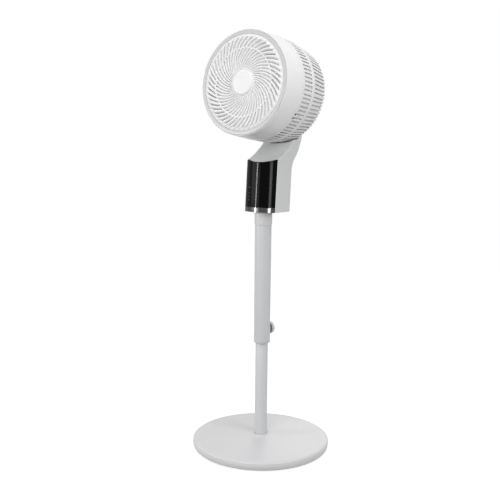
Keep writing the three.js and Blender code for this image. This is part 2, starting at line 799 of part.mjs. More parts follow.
function neckShell(blank) {
  const halfW = CAVITY_HALF_W;
  const cavity = leaningBox(-halfW, halfW, CAVITY_FRONT_Y, BEHIND_Y, cavityFloor, CAVITY_TOP);
  const skin = frontSlice(PANEL_HALF_W + GAP, PANEL_T + GAP, NECK_BOTTOM - 1, ABOVE_ALL);
  const swivelHole = rod(POST_R + GAP, NECK_BOTTOM - 1, cavityFloor + 1, MEDIUM);
  const slotZ = PIVOT_Z - FORK_SLOT_DEPTH;
  const slot = box(-FORK_SLOT_HALF_W, FORK_SLOT_HALF_W, 0, 150, slotZ, ABOVE_ALL);
  const pinHole = rodAlongX(PIN_R + GAP, -60, 60).translate(0, PIVOT_Y, PIVOT_Z);
  const hollowed = cut(blank, cavity, skin, swivelHole, slot, pinHole);
  const posts = [];
  for (const side of [-1, 1]) {
    const x0 = Math.min(side * (CAVITY_HALF_W - CORNER_POST), side * (CAVITY_HALF_W + 1));
    const x1 = x0 + CORNER_POST + 1;
    const frontY = CAVITY_FRONT_Y - 1;
    const rearY = coverInnerY - GAP;
    posts.push(leaningBox(x0, x1, frontY, rearY, cavityFloor - 1, postTop));
    posts.push(leaningBox(x0, x1, frontY, rearY, CAVITY_TOP - CORNER_POST, CAVITY_TOP + 1));
  }
  const screwHoles = screwPlaces().map(([x, y, z]) => {
    return rodAlongY(SCREW_R + GAP, y - SCREW_L - 2, y, 6).translate(x, 0, z);
  });
  return cut(join(hollowed, ...posts), ...screwHoles);
}

// Centres of the cover screws on the outer face of the cover.
function screwPlaces() {
  const x = CAVITY_HALF_W - CORNER_POST / 2;
  const low = cavityFloor + CORNER_POST / 2 + 1;
  const high = CAVITY_TOP - CORNER_POST / 2;
  const places = [];
  for (const z of [low, high]) {
    for (const side of [-1, 1]) places.push([side * x, NECK_REAR_Y + leanAt(z), z]);
  }
  return places;
}

function neckRearCover(blank) {
  const halfW = CAVITY_HALF_W - GAP;
  const top = CAVITY_TOP - GAP;
  const slab = leaningBox(-halfW, halfW, coverInnerY, BEHIND_Y, cavityFloor + GAP, top);
  const inlet = rodAlongY(INLET_R + GAP, 0, 80, TINY).translate(0, 0, INLET_Z);
  const holes = screwPlaces().map(([x, y, z]) => {
    const shank = rodAlongY(SCREW_R + GAP, y - SCREW_L, y + 5, 6);
    const head = rodAlongY(SCREW_HEAD_R + GAP, y - SCREW_HEAD_T - GAP, y + 5, TINY);
    return join(shank, head).translate(x, 0, z);
  });
  return cut(common(blank, slab), inlet, ...holes);
}

function powerInlet() {
  const outerY = NECK_REAR_Y + leanAt(INLET_Z) - 0.6;
  const body = rodAlongY(INLET_R, outerY - 12, outerY, TINY);
  const socket = rodAlongY(INLET_SOCKET_R, outerY - 8, outerY + 1, TINY);
  const contact = rodAlongY(1, outerY - 9, outerY - 1, 6);
  return join(cut(body, socket), contact).translate(0, 0, INLET_Z);
}

function coverScrew() {
  const head = rodAlongY(SCREW_HEAD_R, -SCREW_HEAD_T, -0.2, TINY);
  return join(head, rodAlongY(SCREW_R, -SCREW_L, -1, 6));
}

function yawMotor() {
  const can = rod(YAW_MOTOR_R, bracketTop + GAP, bracketTop + YAW_MOTOR_L);
  const bore = rod(PINION_SHAFT_R + GAP, bracketTop - 1, bracketTop + 13, TINY);
  return cut(can.translate(0, gearCentres - 8, 0), bore.translate(0, gearCentres, 0));
}

function motorBracket() {
  const halfW = CAVITY_HALF_W - GAP;
  const plate = box(-halfW, halfW, 0, coverInnerY - 2, bracketBottom, bracketTop);
  const hole = rod(PINION_SHAFT_R + 2, bracketBottom - 1, bracketTop + 1, TINY);
  return cut(plate, hole.translate(0, gearCentres, 0));
}

function controlBoard() {
  const y = CAVITY_FRONT_Y + GAP;
  const board = leaningBox(-BOARD_HALF_W, BOARD_HALF_W, y, y + BOARD_T, BOARD_BOTTOM, BOARD_TOP);
  const display = leaningBox(-16, 16, y + 1, y + 4.5, BOARD_TOP - 32, BOARD_TOP - 6);
  return join(board, display);
}

function addNeck(group) {
  const blank = neckBlank();
  group.add(named('neck_shell', neckShell(blank), whitePlastic));
  group.add(named('neck_rear_cover', neckRearCover(blank), whitePlastic));
  const panelSlice = frontSlice(PANEL_HALF_W, PANEL_T, trimTop, ABOVE_ALL);
  group.add(named('control_panel', common(blank, panelSlice), blackPanel));
  const trimSlice = frontSlice(PANEL_HALF_W, PANEL_T, NECK_BOTTOM - 1, trimTop - GAP);
  group.add(named('chrome_trim', common(blank, trimSlice), chrome));
  group.add(named('control_board', controlBoard(), circuitBoard));
  group.add(named('motor_bracket', motorBracket(), bareSteel));
  group.add(named('yaw_motor', yawMotor(), aluminium));
  group.add(named('power_inlet', powerInlet(), darkPlastic));
  screwPlaces().forEach((place, i) => {
    const screw = named(`cover_screw_${i + 1}`, coverScrew(), bareSteel);
    screw.position.set(...place);
    group.add(screw);
  });
}

// ---------------------------------------------------------------- tilt hinge

function addTiltHinge(group) {
  const hinge = new THREE.Group();
  hinge.position.set(0, PIVOT_Y, PIVOT_Z);
  const earX = ARM_TOP_W / 2 + GAP;
  const headX = earX + PIN_HEAD_T;
  const nutX = earX + 4;
  const pin = join(rodAlongX(PIN_R, -nutX - 1, earX + 0.5), rodAlongX(PIN_HEAD_R, earX, headX));
  hinge.add(named('tilt_pin', pin, bareSteel));
  const nut = cut(rodAlongX(PIN_HEAD_R, -nutX, -earX, 6), rodAlongX(PIN_R + GAP, -nutX - 1, 0));
  hinge.add(named('pin_nut', nut, bareSteel));
  for (const [name, side] of [['friction_washer_left', -1], ['friction_washer_right', 1]]) {
    const near = LUG_HALF_W + GAP;
    const far = FORK_SLOT_HALF_W - GAP;
    const disc = rodAlongX(FRICTION_WASHER_R, near, far);
    const washer = cut(disc, rodAlongX(PIN_R + GAP, 0, 30));
    const mesh = named(name, washer, darkPlastic);
    if (side < 0) mesh.rotation.z = Math.PI;
    hinge.add(mesh);
  }
  group.add(hinge);
}

// ---------------------------------------------------------------- head housings

function frontShell() {
  const spigotR = rearR - REAR_RING_T - GAP;
  const outline = [
    [seatR, SEAT_Y],
    [lipInnerR, SEAT_Y],
    [lipInnerR, SHELL_LIP_Y],
    [SHELL_FRONT_R - 0.5, SHELL_LIP_Y + 0.8],
    [SHELL_FRONT_R, 0],
    [shellRearR, SHELL_DEPTH],
    [spigotR, SHELL_DEPTH],
    [spigotR, SHELL_DEPTH + SPIGOT_L],
    [spigotR - 2.5, SHELL_DEPTH + SPIGOT_L],
    [SHELL_FRONT_R - SHELL_WALL, SEAT_Y + SHELL_WALL],
    [seatR, SEAT_Y + SHELL_WALL],
  ];
  return turnedAboutY(outline, LARGE);
}

function trimRing() {
  const outline = [
    [trimInnerR, SEAT_Y - GAP],
    [trimInnerR, TRIM_FACE_Y],
    [trimOuterR, TRIM_FACE_Y],
    [trimOuterR, SEAT_Y - GAP],
  ];
  return turnedAboutY(outline, LARGE);
}

function vaneTwist(r) {
  const turnAt = (radius) => {
    const share = (radius - VANE_HUB_R) / (vaneRimR - VANE_HUB_R);
    return VANE_SWEEP * share * (1.12 - 0.12 * share);
  };
  return turnAt(VANE_PHASE_R) - turnAt(r);
}

function frontGrille() {
  const outerR = trimInnerR * Math.cos(Math.PI / LARGE) - GAP;
  const reach = (r) => {
    const way = (r - VANE_HUB_R) / (vaneRimR - VANE_HUB_R);
    return Math.min(Math.max(way, 0), 1);
  };
  const faceY = (r) => DISH_HUB_Y + (DISH_RIM_Y - DISH_HUB_Y) * reach(r);
  const station = (r, open, front = faceY(r), back = front + VANE_DEPTH) => {
    const share = VANE_SHARE + VANE_FLARE * (1 - reach(r)) ** 2;
    return { outer: [r, front], inner: [r, back], twist: vaneTwist(r), share, open };
  };
  const innerMiddle = (VANE_HUB_R + VANE_RING_R) / 2;
  const ringEnd = VANE_RING_R + VANE_RING_W;
  const stations = [
    station(HUB_RING_R, false),
    station(VANE_HUB_R, true),
    station(innerMiddle, true),
    station(VANE_RING_R, false),
    station(ringEnd, true),
    station((ringEnd + vaneRimR) / 2, true),
    station(vaneRimR, false),
    station(outerR, false, TRIM_FACE_Y, SEAT_Y - GAP),
  ];
  return ribbedShell(stations, VANE_COUNT);
}

function hubCap() {
  const rimR = HUB_RING_R - GAP;
  const frontY = DISH_HUB_Y - HUB_CAP_RISE;
  const skirtBack = DISH_HUB_Y + VANE_DEPTH;
  const outline = [
    [0, frontY],
    [rimR - 3, frontY],
    [rimR, DISH_HUB_Y],
    [rimR, skirtBack],
    [rimR - HUB_CAP_T, skirtBack],
    [rimR - HUB_CAP_T, frontY + HUB_CAP_T],
    [0, frontY + HUB_CAP_T],
  ];
  return turnedAboutY(outline);
}

function rearGrille() {
  const cornerY = REAR_FACE_Y - REAR_CORNER;
  const faceInnerY = REAR_FACE_Y - REAR_RIB_T;
  const share = REAR_RIB_SHARE;
  const rib = (outer, inner, open) => ({ outer, inner, twist: 0, share, open });
  const wall = (y, depth, open) => rib([rearR, y], [rearR - depth, y], open);
  const face = (r, y, open) => rib([r, y], [r, y - REAR_RIB_T], open);
  const startY = SHELL_DEPTH + GAP;
  const stations = [
    wall(startY, REAR_RING_T, false),
    wall(startY + REAR_RING_W, REAR_RING_T, true),
    wall(REAR_BAND_Y, REAR_RIB_T, false),
    wall(bandEndY, REAR_RIB_T, true),
    rib([basketBackR, cornerY], [basketBackR - REAR_RIB_T, cornerY - REAR_RIB_T], true),
    rib([basketBackR - REAR_CORNER, REAR_FACE_Y], [basketBackR - 2 * REAR_RIB_T, faceInnerY], true),
    face(REAR_EYE_R + REAR_EYE_W, REAR_HUB_Y, false),
    face(REAR_EYE_R, REAR_HUB_Y, false),
  ];
  return ribbedShell(stations, REAR_RIB_COUNT);
}

function motorCover() {
  const outerR = REAR_EYE_R - GAP;
  const skirtR = outerR - MOTOR_COVER_WALL;
  const frontY = MOTOR_COVER_BACK_Y - MOTOR_COVER_SKIRT;
  const wallY = MOTOR_COVER_BACK_Y - MOTOR_COVER_WALL;
  const outline = [
    [0, wallY],
    [skirtR, wallY],
    [skirtR, frontY],
    [outerR, frontY],
    [outerR, MOTOR_COVER_BACK_Y - 1],
    [outerR - 1, MOTOR_COVER_BACK_Y],
    [0, MOTOR_COVER_BACK_Y],
  ];
  return turnedAboutY(outline);
}

// ---------------------------------------------------------------- motor and blades

const motorBackY = MOTOR_COVER_BACK_Y - MOTOR_COVER_WALL - GAP;
const motorFrontY = motorBackY - MOTOR_L;
const noseY = motorFrontY - MOTOR_NOSE_L;
const shaftBackY = noseY + MOTOR_BORE_L;

function fanMotor() {
  const boreR = SHAFT_R + GAP;
  const outline = [
    [0, shaftBackY + GAP],
    [boreR, shaftBackY + GAP],
    [boreR, noseY],
    [MOTOR_NOSE_R, noseY],
    [MOTOR_NOSE_R, motorFrontY],
    [MOTOR_R - 3, motorFrontY],
    [MOTOR_R, motorFrontY + 3],
    [MOTOR_R, motorBackY],
    [0, motorBackY],
  ];
  return turnedAboutY(outline);
}

function motorShaft() {
  return rodAlongY(SHAFT_R, SHAFT_FRONT_Y, shaftBackY, TINY);
}

function bladeNut() {
  const back = BLADE_HUB_FRONT_Y - GAP;
  const blank = rodAlongY(BLADE_NUT_R, back - BLADE_NUT_T, back, 6);
  return cut(blank, rodAlongY(SHAFT_R + GAP, back - BLADE_NUT_T - 1, back + 1, TINY));
}

function bladeHub() {
  const boreR = SHAFT_R + GAP;
  const front = BLADE_HUB_FRONT_Y;
  const outline = [
    [boreR, front],
    [BLADE_HUB_R - 3, front],
    [BLADE_HUB_R, front + 4],
    [BLADE_HUB_R, BLADE_HUB_BACK_Y],
    [BLADE_HUB_R - 2.5, BLADE_HUB_BACK_Y],
    [BLADE_HUB_R - 2.5, front + 5],
    [9, front + 4],
    [9, front + 24],
    [boreR, front + 24],
  ];
  return turnedAboutY(outline, SMALL);
}

// A swept, cambered and twisted blade from inside the hub wall to the tip.
function blade(turn) {
  const across = 3;
  const along = 4;
  const positions = [];
  const faces = [];
  for (let j = 0; j <= along; j++) {
    const span = j / along;
    const r = BLADE_HUB_R - 1.5 + span * (bladeTipR - BLADE_HUB_R + 1.5);
    const chordAngle = (58 - 14 * span) * DEGREE;
    const depth = 34 - 12 * span;
    const sweep = 34 * DEGREE * span * span;
    for (let i = 0; i <= across; i++) {
      const place = i / across - 0.5;
      const angle = turn + sweep + chordAngle * place;
      const camber = 5 * (1 - 4 * place * place) * (0.4 + 0.6 * span);
      const y = BLADE_MID_Y + depth * place + camber;
      const roundOff = BLADE_T * 0.5 * (1 - 0.8 * Math.abs(2 * place));
      for (const side of [-1, 1]) {
        positions.push(r * Math.cos(angle), y + side * roundOff, r * Math.sin(angle));
      }
    }
  }
  const front = (i, j) => 2 * (j * (across + 1) + i);
  const back = (i, j) => front(i, j) + 1;
  const quad = (a, b, c, d) => faces.push(a, b, c, a, c, d);
  for (let j = 0; j < along; j++) {
    for (let i = 0; i < across; i++) {
      quad(front(i, j), front(i, j + 1), front(i + 1, j + 1), front(i + 1, j));
      quad(back(i, j), back(i + 1, j), back(i + 1, j + 1), back(i, j + 1));
    }
    quad(front(0, j), back(0, j), back(0, j + 1), front(0, j + 1));
    quad(front(across, j), front(across, j + 1), back(across, j + 1), back(across, j));
  }
  for (let i = 0; i < across; i++) {
    quad(front(i, 0), front(i + 1, 0), back(i + 1, 0), back(i, 0));
    quad(front(i, along), back(i, along), back(i + 1, along), front(i + 1, along));
  }
  const geometry = new THREE.BufferGeometry();
  geometry.setAttribute('position', new THREE.Float32BufferAttribute(positions, 3));
  geometry.setIndex(faces);
  return geometry;
}

function fanBlades() {
  const blades = [];
  for (let i = 0; i < BLADE_COUNT; i++) blades.push(blade((2 * Math.PI * i) / BLADE_COUNT));
  return join(bladeHub(), ...blades);
}

// The plate on the motor cover and the lug that turns on the tilt pin.
function tiltBracket() {
  const plateY = MOTOR_COVER_BACK_Y + GAP;
  const plate = rodAlongY(BRACKET_PLATE_R, plateY, plateY + BRACKET_PLATE_T);
  const web = box(-LUG_HALF_W, LUG_HALF_W, plateY, RING_TO_PIVOT, -LUG_R, LUG_R);
  const eye = rodAlongX(LUG_R, -LUG_HALF_W, LUG_HALF_W).translate(0, RING_TO_PIVOT, 0);
  const bore = rodAlongX(PIN_R + GAP, -30, 30).translate(0, RING_TO_PIVOT, 0);
  return cut(join(plate, web, eye), bore);
}

function headGroup() {
  const head = new THREE.Group();
  head.rotation.x = -REST_TILT;
  head.position.set(
    0,
    PIVOT_Y - RING_TO_PIVOT * Math.cos(REST_TILT),
    PIVOT_Z + RING_TO_PIVOT * Math.sin(REST_TILT),
  );
  head.add(named('front_shell', frontShell(), whitePlastic));
  head.add(named('trim_ring', trimRing(), greyTrim));
  head.add(named('front_grille', frontGrille(), whitePlastic));
  head.add(named('hub_cap', hubCap(), whitePlastic));
  head.add(named('rear_grille', rearGrille(), whitePlastic));
  head.add(named('motor_cover', motorCover(), whitePlastic));
  head.add(named('fan_motor', fanMotor(), aluminium));
  head.add(named('tilt_bracket', tiltBracket(), whitePlastic));
  head.add(named('fan_blades', fanBlades(), whitePlastic));
  head.add(named('motor_shaft', motorShaft(), bareSteel));
  head.add(named('blade_nut', bladeNut(), darkPlastic));
  return head;
}

// ---------------------------------------------------------------- assembly

const fan = new THREE.Group();
fan.name = 'air_circulator_fan';
addBase(fan);
addTubes(fan);
addClamp(fan);
addSwivel(fan);
addNeck(fan);
addTiltHinge(fan);
fan.add(headGroup());

export default fan;
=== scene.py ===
"""Looks for the air circulator fan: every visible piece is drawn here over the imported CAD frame.

Lengths are written in millimetres, as in the CAD source, and MM turns them into metres.
The floor is z = 0, the pole is the Z axis and the fan blows towards -Y.
"""

import json
from math import asin, atan2, cos, hypot, pi, radians, sin, sqrt, tan

import bmesh
import bpy
from mathutils import Matrix, Vector

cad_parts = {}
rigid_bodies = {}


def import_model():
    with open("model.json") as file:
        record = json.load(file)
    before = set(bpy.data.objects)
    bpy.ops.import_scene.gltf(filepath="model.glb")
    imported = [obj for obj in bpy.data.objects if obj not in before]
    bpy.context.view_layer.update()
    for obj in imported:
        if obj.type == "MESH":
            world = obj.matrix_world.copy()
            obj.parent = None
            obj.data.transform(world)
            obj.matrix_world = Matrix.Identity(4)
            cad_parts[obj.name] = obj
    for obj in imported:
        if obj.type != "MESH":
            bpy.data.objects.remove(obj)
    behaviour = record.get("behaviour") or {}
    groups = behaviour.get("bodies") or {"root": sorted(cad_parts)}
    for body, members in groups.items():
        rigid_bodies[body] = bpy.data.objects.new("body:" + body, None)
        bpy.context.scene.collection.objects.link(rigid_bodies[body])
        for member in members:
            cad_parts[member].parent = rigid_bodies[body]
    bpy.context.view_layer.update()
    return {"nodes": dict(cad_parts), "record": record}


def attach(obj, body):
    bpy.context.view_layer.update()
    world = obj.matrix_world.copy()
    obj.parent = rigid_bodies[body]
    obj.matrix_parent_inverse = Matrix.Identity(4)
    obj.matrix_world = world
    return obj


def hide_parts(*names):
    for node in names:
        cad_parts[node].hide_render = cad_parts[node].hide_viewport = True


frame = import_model()

# ---------------------------------------------------------------- sizes, mostly the CAD source's

MM = 0.001
GAP = 0.3  # the clearance between pieces that seat or fit in each other

BASE_R = 160
TUBE_BOTTOM = 14.7
BASE_CROWN_Z = 29
BASE_EDGE_Z = 21
BASE_WALL = 3
PLATE_R = 145
PLATE_Z = 3.3

TUBE_WALL = 1.2
INNER_TUBE_R = 14.5
OUTER_TUBE_R = 19
INNER_TUBE_TOP = 305
MAST_BOTTOM = 247
OUTER_TUBE_TOP = 538
COLLAR_BOTTOM = 523
COLLAR_TOP = 549.7
COLLAR_R = 20.2
COLLAR_BORE_R = 9.3

CLAMP_HOLE_R = 8.3
KNOB_Z = 279
KNOB_R = 15.5
KNOB_INNER_Y = 22.8
KNOB_OUTER_Y = 34
KNOB_CORE_R = 7
KNOB_STUD_R = 4.3
KNOB_FLUTES = 18
KNOB_FLUTE_DEPTH = 0.55

NECK_BOTTOM = 552
CORNER_POST = 9
NECK_HALF_W = 42.6
NECK_FRONT_Y = -28
NECK_FRONT_CURVE_R = 70
NECK_REAR_Y = 46.5
NECK_LEAN = tan(radians(3.8))
PANEL_HALF_W = 41.2
PANEL_T = 2.2
NECK_EDGE_R = 6
NECK_SHOULDER_Z = 650
TRIM_TOP = 562.7
COVER_T = 3.5
CAVITY_HALF_W = 36
CAVITY_FLOOR = 556.3
CAVITY_TOP = 648
INLET_Z = 606
INLET_R = 5.5
SCREW_HEAD_R = 3
SCREW_R = 1.5
ARM_TAPER_FROM = 715
ARM_TAPER_TO = 795
ARM_TOP_W = 62

PIVOT_Y = 102
PIVOT_Z = 815.4
EAR_R = 14
FORK_SLOT_HALF_W = 15.2
FORK_SLOT_DEPTH = 24
LUG_HALF_W = 13.4
LUG_R = 12.5
LUG_PLATE_R = 20
WASHER_R = 11
PIN_HEAD_R = 7
PIN_BORE_R = 4.3

REST_TILT = radians(5.5)
RING_TO_PIVOT = 182
SHELL_FRONT_R = 113.4
SHELL_REAR_R = 115
SHELL_DEPTH = 58
LIP_INNER_R = 99.5
SEAT_R = 112.1
TRIM_INNER_R = 103.3
TRIM_OUTER_R = 111.4
TRIM_FACE_Y = -2.8

VANE_COUNT = 48
VANE_SHARE = 0.55
VANE_HUB_FLARE = 0.3
VANE_HUB_R = 30
VANE_RING_R = 72
VANE_RING_W = 3
VANE_RIM_R = 95
VANE_SWEEP = radians(43)
VANE_PHASE_R = 84
VANE_START_R = 28.8
VANE_END_R = 101.6
VANE_HUB_Y = -3
VANE_RISE = 3
SHOULDER_R = 95.5
SHOULDER_W = 6.5
SHOULDER_DROP = 2.9
RIM_INNER_R = 95.6
HUB_RING_R = 28
HUB_CAP_R = 27.7
HUB_CAP_Y = -6.6

REAR_RIB_COUNT = 80
REAR_RIB_SHARE = 0.56
SEAM_BAR = -2
SEAM_BAR_SHARE = 0.76
REAR_R = 115.6
REAR_RIB_T = 2.8
REAR_RING_END = 62.5
REAR_BAND_Y = 94
REAR_BAND_END = 103
REAR_BACK_R = 108.5
REAR_CORNER_Y = 156.7
REAR_CORNER = 4.8
REAR_FACE_Y = 161.5
REAR_HUB_Y = 162.5
REAR_EYE_R = 44
REAR_EYE_W = 6
CLIP_ANGLES = (radians(-32), radians(-36.5))
GUARD_COUNT = 120
GUARD_TWIST = radians(60)
GUARD_FRONT_Y = 59.5
MOTOR_COVER_BACK_Y = 163.5
MOTOR_R = 32
MOTOR_BORE_R = 4.6

BLADE_COUNT = 5
BLADE_TIP_R = 103
BLADE_HUB_R = 28
BLADE_HUB_BORE_R = 4.3
BLADE_ROOT_R = 26.5
BLADE_MID_Y = 46

# The head's own frame: +Y runs from the front ring to the back, along the fan's axis.
HEAD = Matrix.Translation((
    0,
    PIVOT_Y - RING_TO_PIVOT * cos(REST_TILT),
    PIVOT_Z + RING_TO_PIVOT * sin(REST_TILT),
)) @ Matrix.Rotation(-REST_TILT, 4, "X")

# These turn a lathe's +Z axis into +Y, which is the fan's axis in the head's frame, and into +X.
ALONG_Y = Matrix.Rotation(-pi / 2, 4, "X")
ALONG_X = Matrix.Rotation(pi / 2, 4, "Y")

# Limits past the whole neck, for cuts that go right through it.
CUT_TOP = 900
CUT_FRONT = -80
CUT_REAR = 150


# ---------------------------------------------------------------- materials

def node_material(name):
    """A material with its shader, and a short way to add and link nodes."""
    material = bpy.data.materials.new(name)
    material.use_nodes = True
    tree = material.node_tree
    shader = tree.nodes["Principled BSDF"]

    def add(kind, **inputs):
        node = tree.nodes.new(kind)
        for key, value in inputs.items():
            node.inputs[key].default_value = value
        return node

    return material, tree, shader, add


def object_noise(tree, add, scale, detail=3.0, stretch=(1, 1, 1)):
    """Noise that stays with the object as it moves."""
    place = add("ShaderNodeTexCoord")
    mapping = add("ShaderNodeMapping")
    mapping.inputs["Scale"].default_value = stretch
    noise = add("ShaderNodeTexNoise", Scale=scale, Detail=detail)
    tree.links.new(place.outputs["Object"], mapping.inputs["Vector"])
    tree.links.new(mapping.outputs["Vector"], noise.inputs["Vector"])
    return noise.outputs["Fac"]


def map_range(tree, add, source, low, high):
    """The middle of the noise's range, spread from low to high."""
    node = add("ShaderNodeMapRange")
    node.inputs["From Min"].default_value = 0.3
    node.inputs["From Max"].default_value = 0.7
    node.inputs["To Min"].default_value = low
    node.inputs["To Max"].default_value = high
    tree.links.new(source, node.inputs["Value"])
    return node.outputs["Result"]


def mottled_colour(tree, add, shader, source, colour, depth):
    """Drives the base colour between the colour and a slightly darker one."""
    mix = add("ShaderNodeMix")
    mix.data_type = "RGBA"
    darker = [part * (1 - depth) for part in colour]
    mix.inputs["A"].default_value = (*darker, 1)
    mix.inputs["B"].default_value = (*colour, 1)
    tree.links.new(map_range(tree, add, source, 0, 1), mix.inputs["Factor"])
    tree.links.new(mix.outputs["Result"], shader.inputs["Base Color"])


def grain(tree, add, shader, source, depth_mm):
    """A shallow bump from the source."""
    bump = add("ShaderNodeBump")
    bump.inputs["Strength"].default_value = 1
    bump.inputs["Distance"].default_value = depth_mm * MM
    tree.links.new(source, bump.inputs["Height"])
    tree.links.new(bump.outputs["Normal"], shader.inputs["Normal"])


def moulded(name, colour, roughness, mottle=0.03, grain_scale=1800, grain_mm=0.01, specular=0.5):
    """Moulded plastic or paint: a faint mottle, a fine grain and uneven gloss."""
    material, tree, shader, add = node_material(name)
    shader.inputs["Specular IOR Level"].default_value = specular
    soft = object_noise(tree, add, 14)
    mottled_colour(tree, add, shader, soft, colour, mottle)
    uneven = map_range(tree, add, object_noise(tree, add, 60), roughness - 0.03, roughness + 0.04)
    tree.links.new(uneven, shader.inputs["Roughness"])
    grain(tree, add, shader, object_noise(tree, add, grain_scale, 2), grain_mm)
    return material


def drawn_metal(name, colour, roughness, stretch=(1, 1, 0.03), grain_mm=0.004):
    """Bare metal with fine lines along its length, or with even grain at an even stretch."""
    material, tree, shader, add = node_material(name)
    shader.inputs["Metallic"].default_value = 1
    lines = object_noise(tree, add, 2500, 4, stretch)
    mottled_colour(tree, add, shader, lines, colour, 0.12)
    uneven = map_range(tree, add, lines, roughness - 0.05, roughness + 0.08)
    tree.links.new(uneven, shader.inputs["Roughness"])
    grain(tree, add, shader, lines, grain_mm)
    return material


white_plastic = moulded("white_plastic", (0.87, 0.87, 0.875), 0.42)
white_grille = moulded("white_grille", (0.83, 0.828, 0.83), 0.45)
white_neck = moulded("white_neck", (0.63, 0.635, 0.64), 0.45)
white_base = moulded("white_base", (0.65, 0.65, 0.66), 0.42)
white_paint = moulded("white_paint", (0.58, 0.585, 0.595), 0.36, 0.025, 900, 0.02)
grey_trim = moulded("grey_trim", (0.6, 0.603, 0.607), 0.34)
# near-black, for the blocks that fill the clip windows: painted shade, where the windows look dark
# inside
window_shade_black = moulded("window_shade_black", (0.01, 0.01, 0.01), 0.6)
black_panel = moulded("black_panel", (0.0012, 0.0012, 0.0014), 0.09, 0.2, 700, 0.001, 0.045)
panel_mark = moulded("panel_mark", (0.11, 0.11, 0.115), 0.4)
dark_plastic = moulded("dark_plastic", (0.03, 0.03, 0.032), 0.5)
nylon = moulded("nylon", (0.72, 0.7, 0.64), 0.5)
rubber = moulded("rubber", (0.3, 0.3, 0.31), 0.85, 0.12, 900, 0.05)
circuit_board = moulded("circuit_board", (0.02, 0.14, 0.05), 0.4, 0.3)
# the chrome's colour is nearly black: a painted dark reflection, standing in for the dark room
# that polished chrome would mirror
chrome = drawn_metal("chrome", (0.07, 0.07, 0.072), 0.1, (1, 1, 1), 0.0005)
bare_steel = drawn_metal("bare_steel", (0.42, 0.43, 0.44), 0.32)
aluminium = drawn_metal("aluminium", (0.6, 0.61, 0.62), 0.38)
brass = drawn_metal("brass", (0.6, 0.42, 0.14), 0.35)
cast_iron = drawn_metal("cast_iron", (0.06, 0.06, 0.062), 0.6, (1, 1, 1), 0.05)

SLOT_MATERIALS = {
    "white_plastic": white_plastic,
    "white_paint": white_paint,
    "grey_trim": grey_trim,
    "black_panel": black_panel,
    "chrome": chrome,
    "bare_steel": bare_steel,
    "cast_iron": cast_iron,
    "aluminium": aluminium,
    "brass": brass,
    "nylon": nylon,
    "rubber": rubber,
    "circuit_board": circuit_board,
    "dark_plastic": dark_plastic,
}

slot_of = {part["node"]: part["material_slot"] for part in frame["record"]["subparts"]}
for node_name, node in frame["nodes"].items():
    node.data.materials.clear()
    node.data.materials.append(SLOT_MATERIALS[slot_of[node_name]])


# ---------------------------------------------------------------- mesh helpers

def smooth_by_angle(mesh, degrees=38):
    """Smooth shading with sharp edges where two faces meet at more than this angle."""
    mesh.polygons.foreach_set("use_smooth", [True] * len(mesh.polygons))
    mesh.set_sharp_from_angle(angle=radians(degrees))


def face_outwards(mesh, corners=None):
    """Turns the faces outwards, and splits those with more corners than given."""
    work = bmesh.new()
    work.from_mesh(mesh)
    if corners:
        large = [face for face in work.faces if len(face.verts) > corners]
        bmesh.ops.triangulate(work, faces=large)
    bmesh.ops.recalc_face_normals(work, faces=work.faces)
    work.to_mesh(mesh)
    work.free()


def piece(name, body, nodes, points, faces, material, place=Matrix()):
    """Makes a finished piece from points and faces."""
    mesh = bpy.data.meshes.new(name)
    mesh.from_pydata([place @ Vector(point) * MM for point in points], [], faces)
    mesh.validate()
    face_outwards(mesh)
    smooth_by_angle(mesh)
    return finished(mesh, name, body, nodes, material)


def finished(mesh, name, body, nodes, material):
    """Puts a mesh in the scene, hides the CAD parts that it stands for and sets the body that it
    rides on.
    """
    made = bpy.data.objects.new(name, mesh)
    bpy.context.scene.collection.objects.link(made)
    mesh.materials.clear()
    mesh.materials.append(material)
    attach(made, body)
    if nodes:
        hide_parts(*nodes)
    return made


def rounded(corners, steps=5, closed=True):
    """Rounds the corners of an outline. A corner is (u, v) or (u, v, radius)."""
    points = []
    count = len(corners)
    for i, corner in enumerate(corners):
        here = Vector(corner[:2])
        radius = corner[2] if len(corner) > 2 else 0
        ends = not closed and i in (0, count - 1)
        if radius == 0 or ends:
            points.append(tuple(here))
            continue
        before = Vector(corners[i - 1][:2]) - here
        after = Vector(corners[(i + 1) % count][:2]) - here
        turn = before.angle(after) / 2
        reach = min(radius / tan(turn), before.length * 0.49, after.length * 0.49)
        start = here + before.normalized() * reach
        end = here + after.normalized() * reach
        bend = reach * tan(turn)
        centre = here + (before.normalized() + after.normalized()).normalized() * bend / sin(turn)
        first = start - centre
        swing = first.angle_signed(end - centre)
        for step in range(steps + 1):
            points.append(tuple(centre + Matrix.Rotation(-swing * step / steps, 2) @ first))
    return points


def lathe(outline, segments=128):
    """Points and faces of a closed (radius, height) outline turned about +Z."""
    points = []
    rings = []
    for radius, height in outline:
        if radius < 1e-6:
            rings.append([len(points)] * segments)
            points.append((0, 0, height))
            continue
        rings.append(list(range(len(points), len(points) + segments)))
        for k in range(segments):
            angle = 2 * pi * k / segments
            points.append((radius * cos(angle), radius * sin(angle), height))
    faces = []
    for i in range(len(rings)):
        near, far = rings[i], rings[(i + 1) % len(rings)]
        for k in range(segments):
            n = (k + 1) % segments
            quad = [near[k], near[n], far[n], far[k]]
            face = list(dict.fromkeys(quad))
            if len(face) > 2:
                faces.append(face)
    return points, faces


def sweep(sections):
    """A closed solid through a list of loops of points, each with the same count."""
    points = [point for section in sections for point in section]
    count = len(sections[0])
    faces = [list(range(count))[::-1]]
    for i in range(len(sections) - 1):
        for k in range(count):
            n = (k + 1) % count
            faces.append([i * count + k, i * count + n, (i + 1) * count + n, (i + 1) * count + k])
    faces.append([(len(sections) - 1) * count + k for k in range(count)])
    return points, faces


def merged(*parts):
    """One list of points and one of faces, from several pairs."""
    points = []
    faces = []
    for part_points, part_faces in parts:
        start = len(points)
        points.extend(part_points)
        faces.extend([[start + index for index in face] for face in part_faces])
    return points, faces


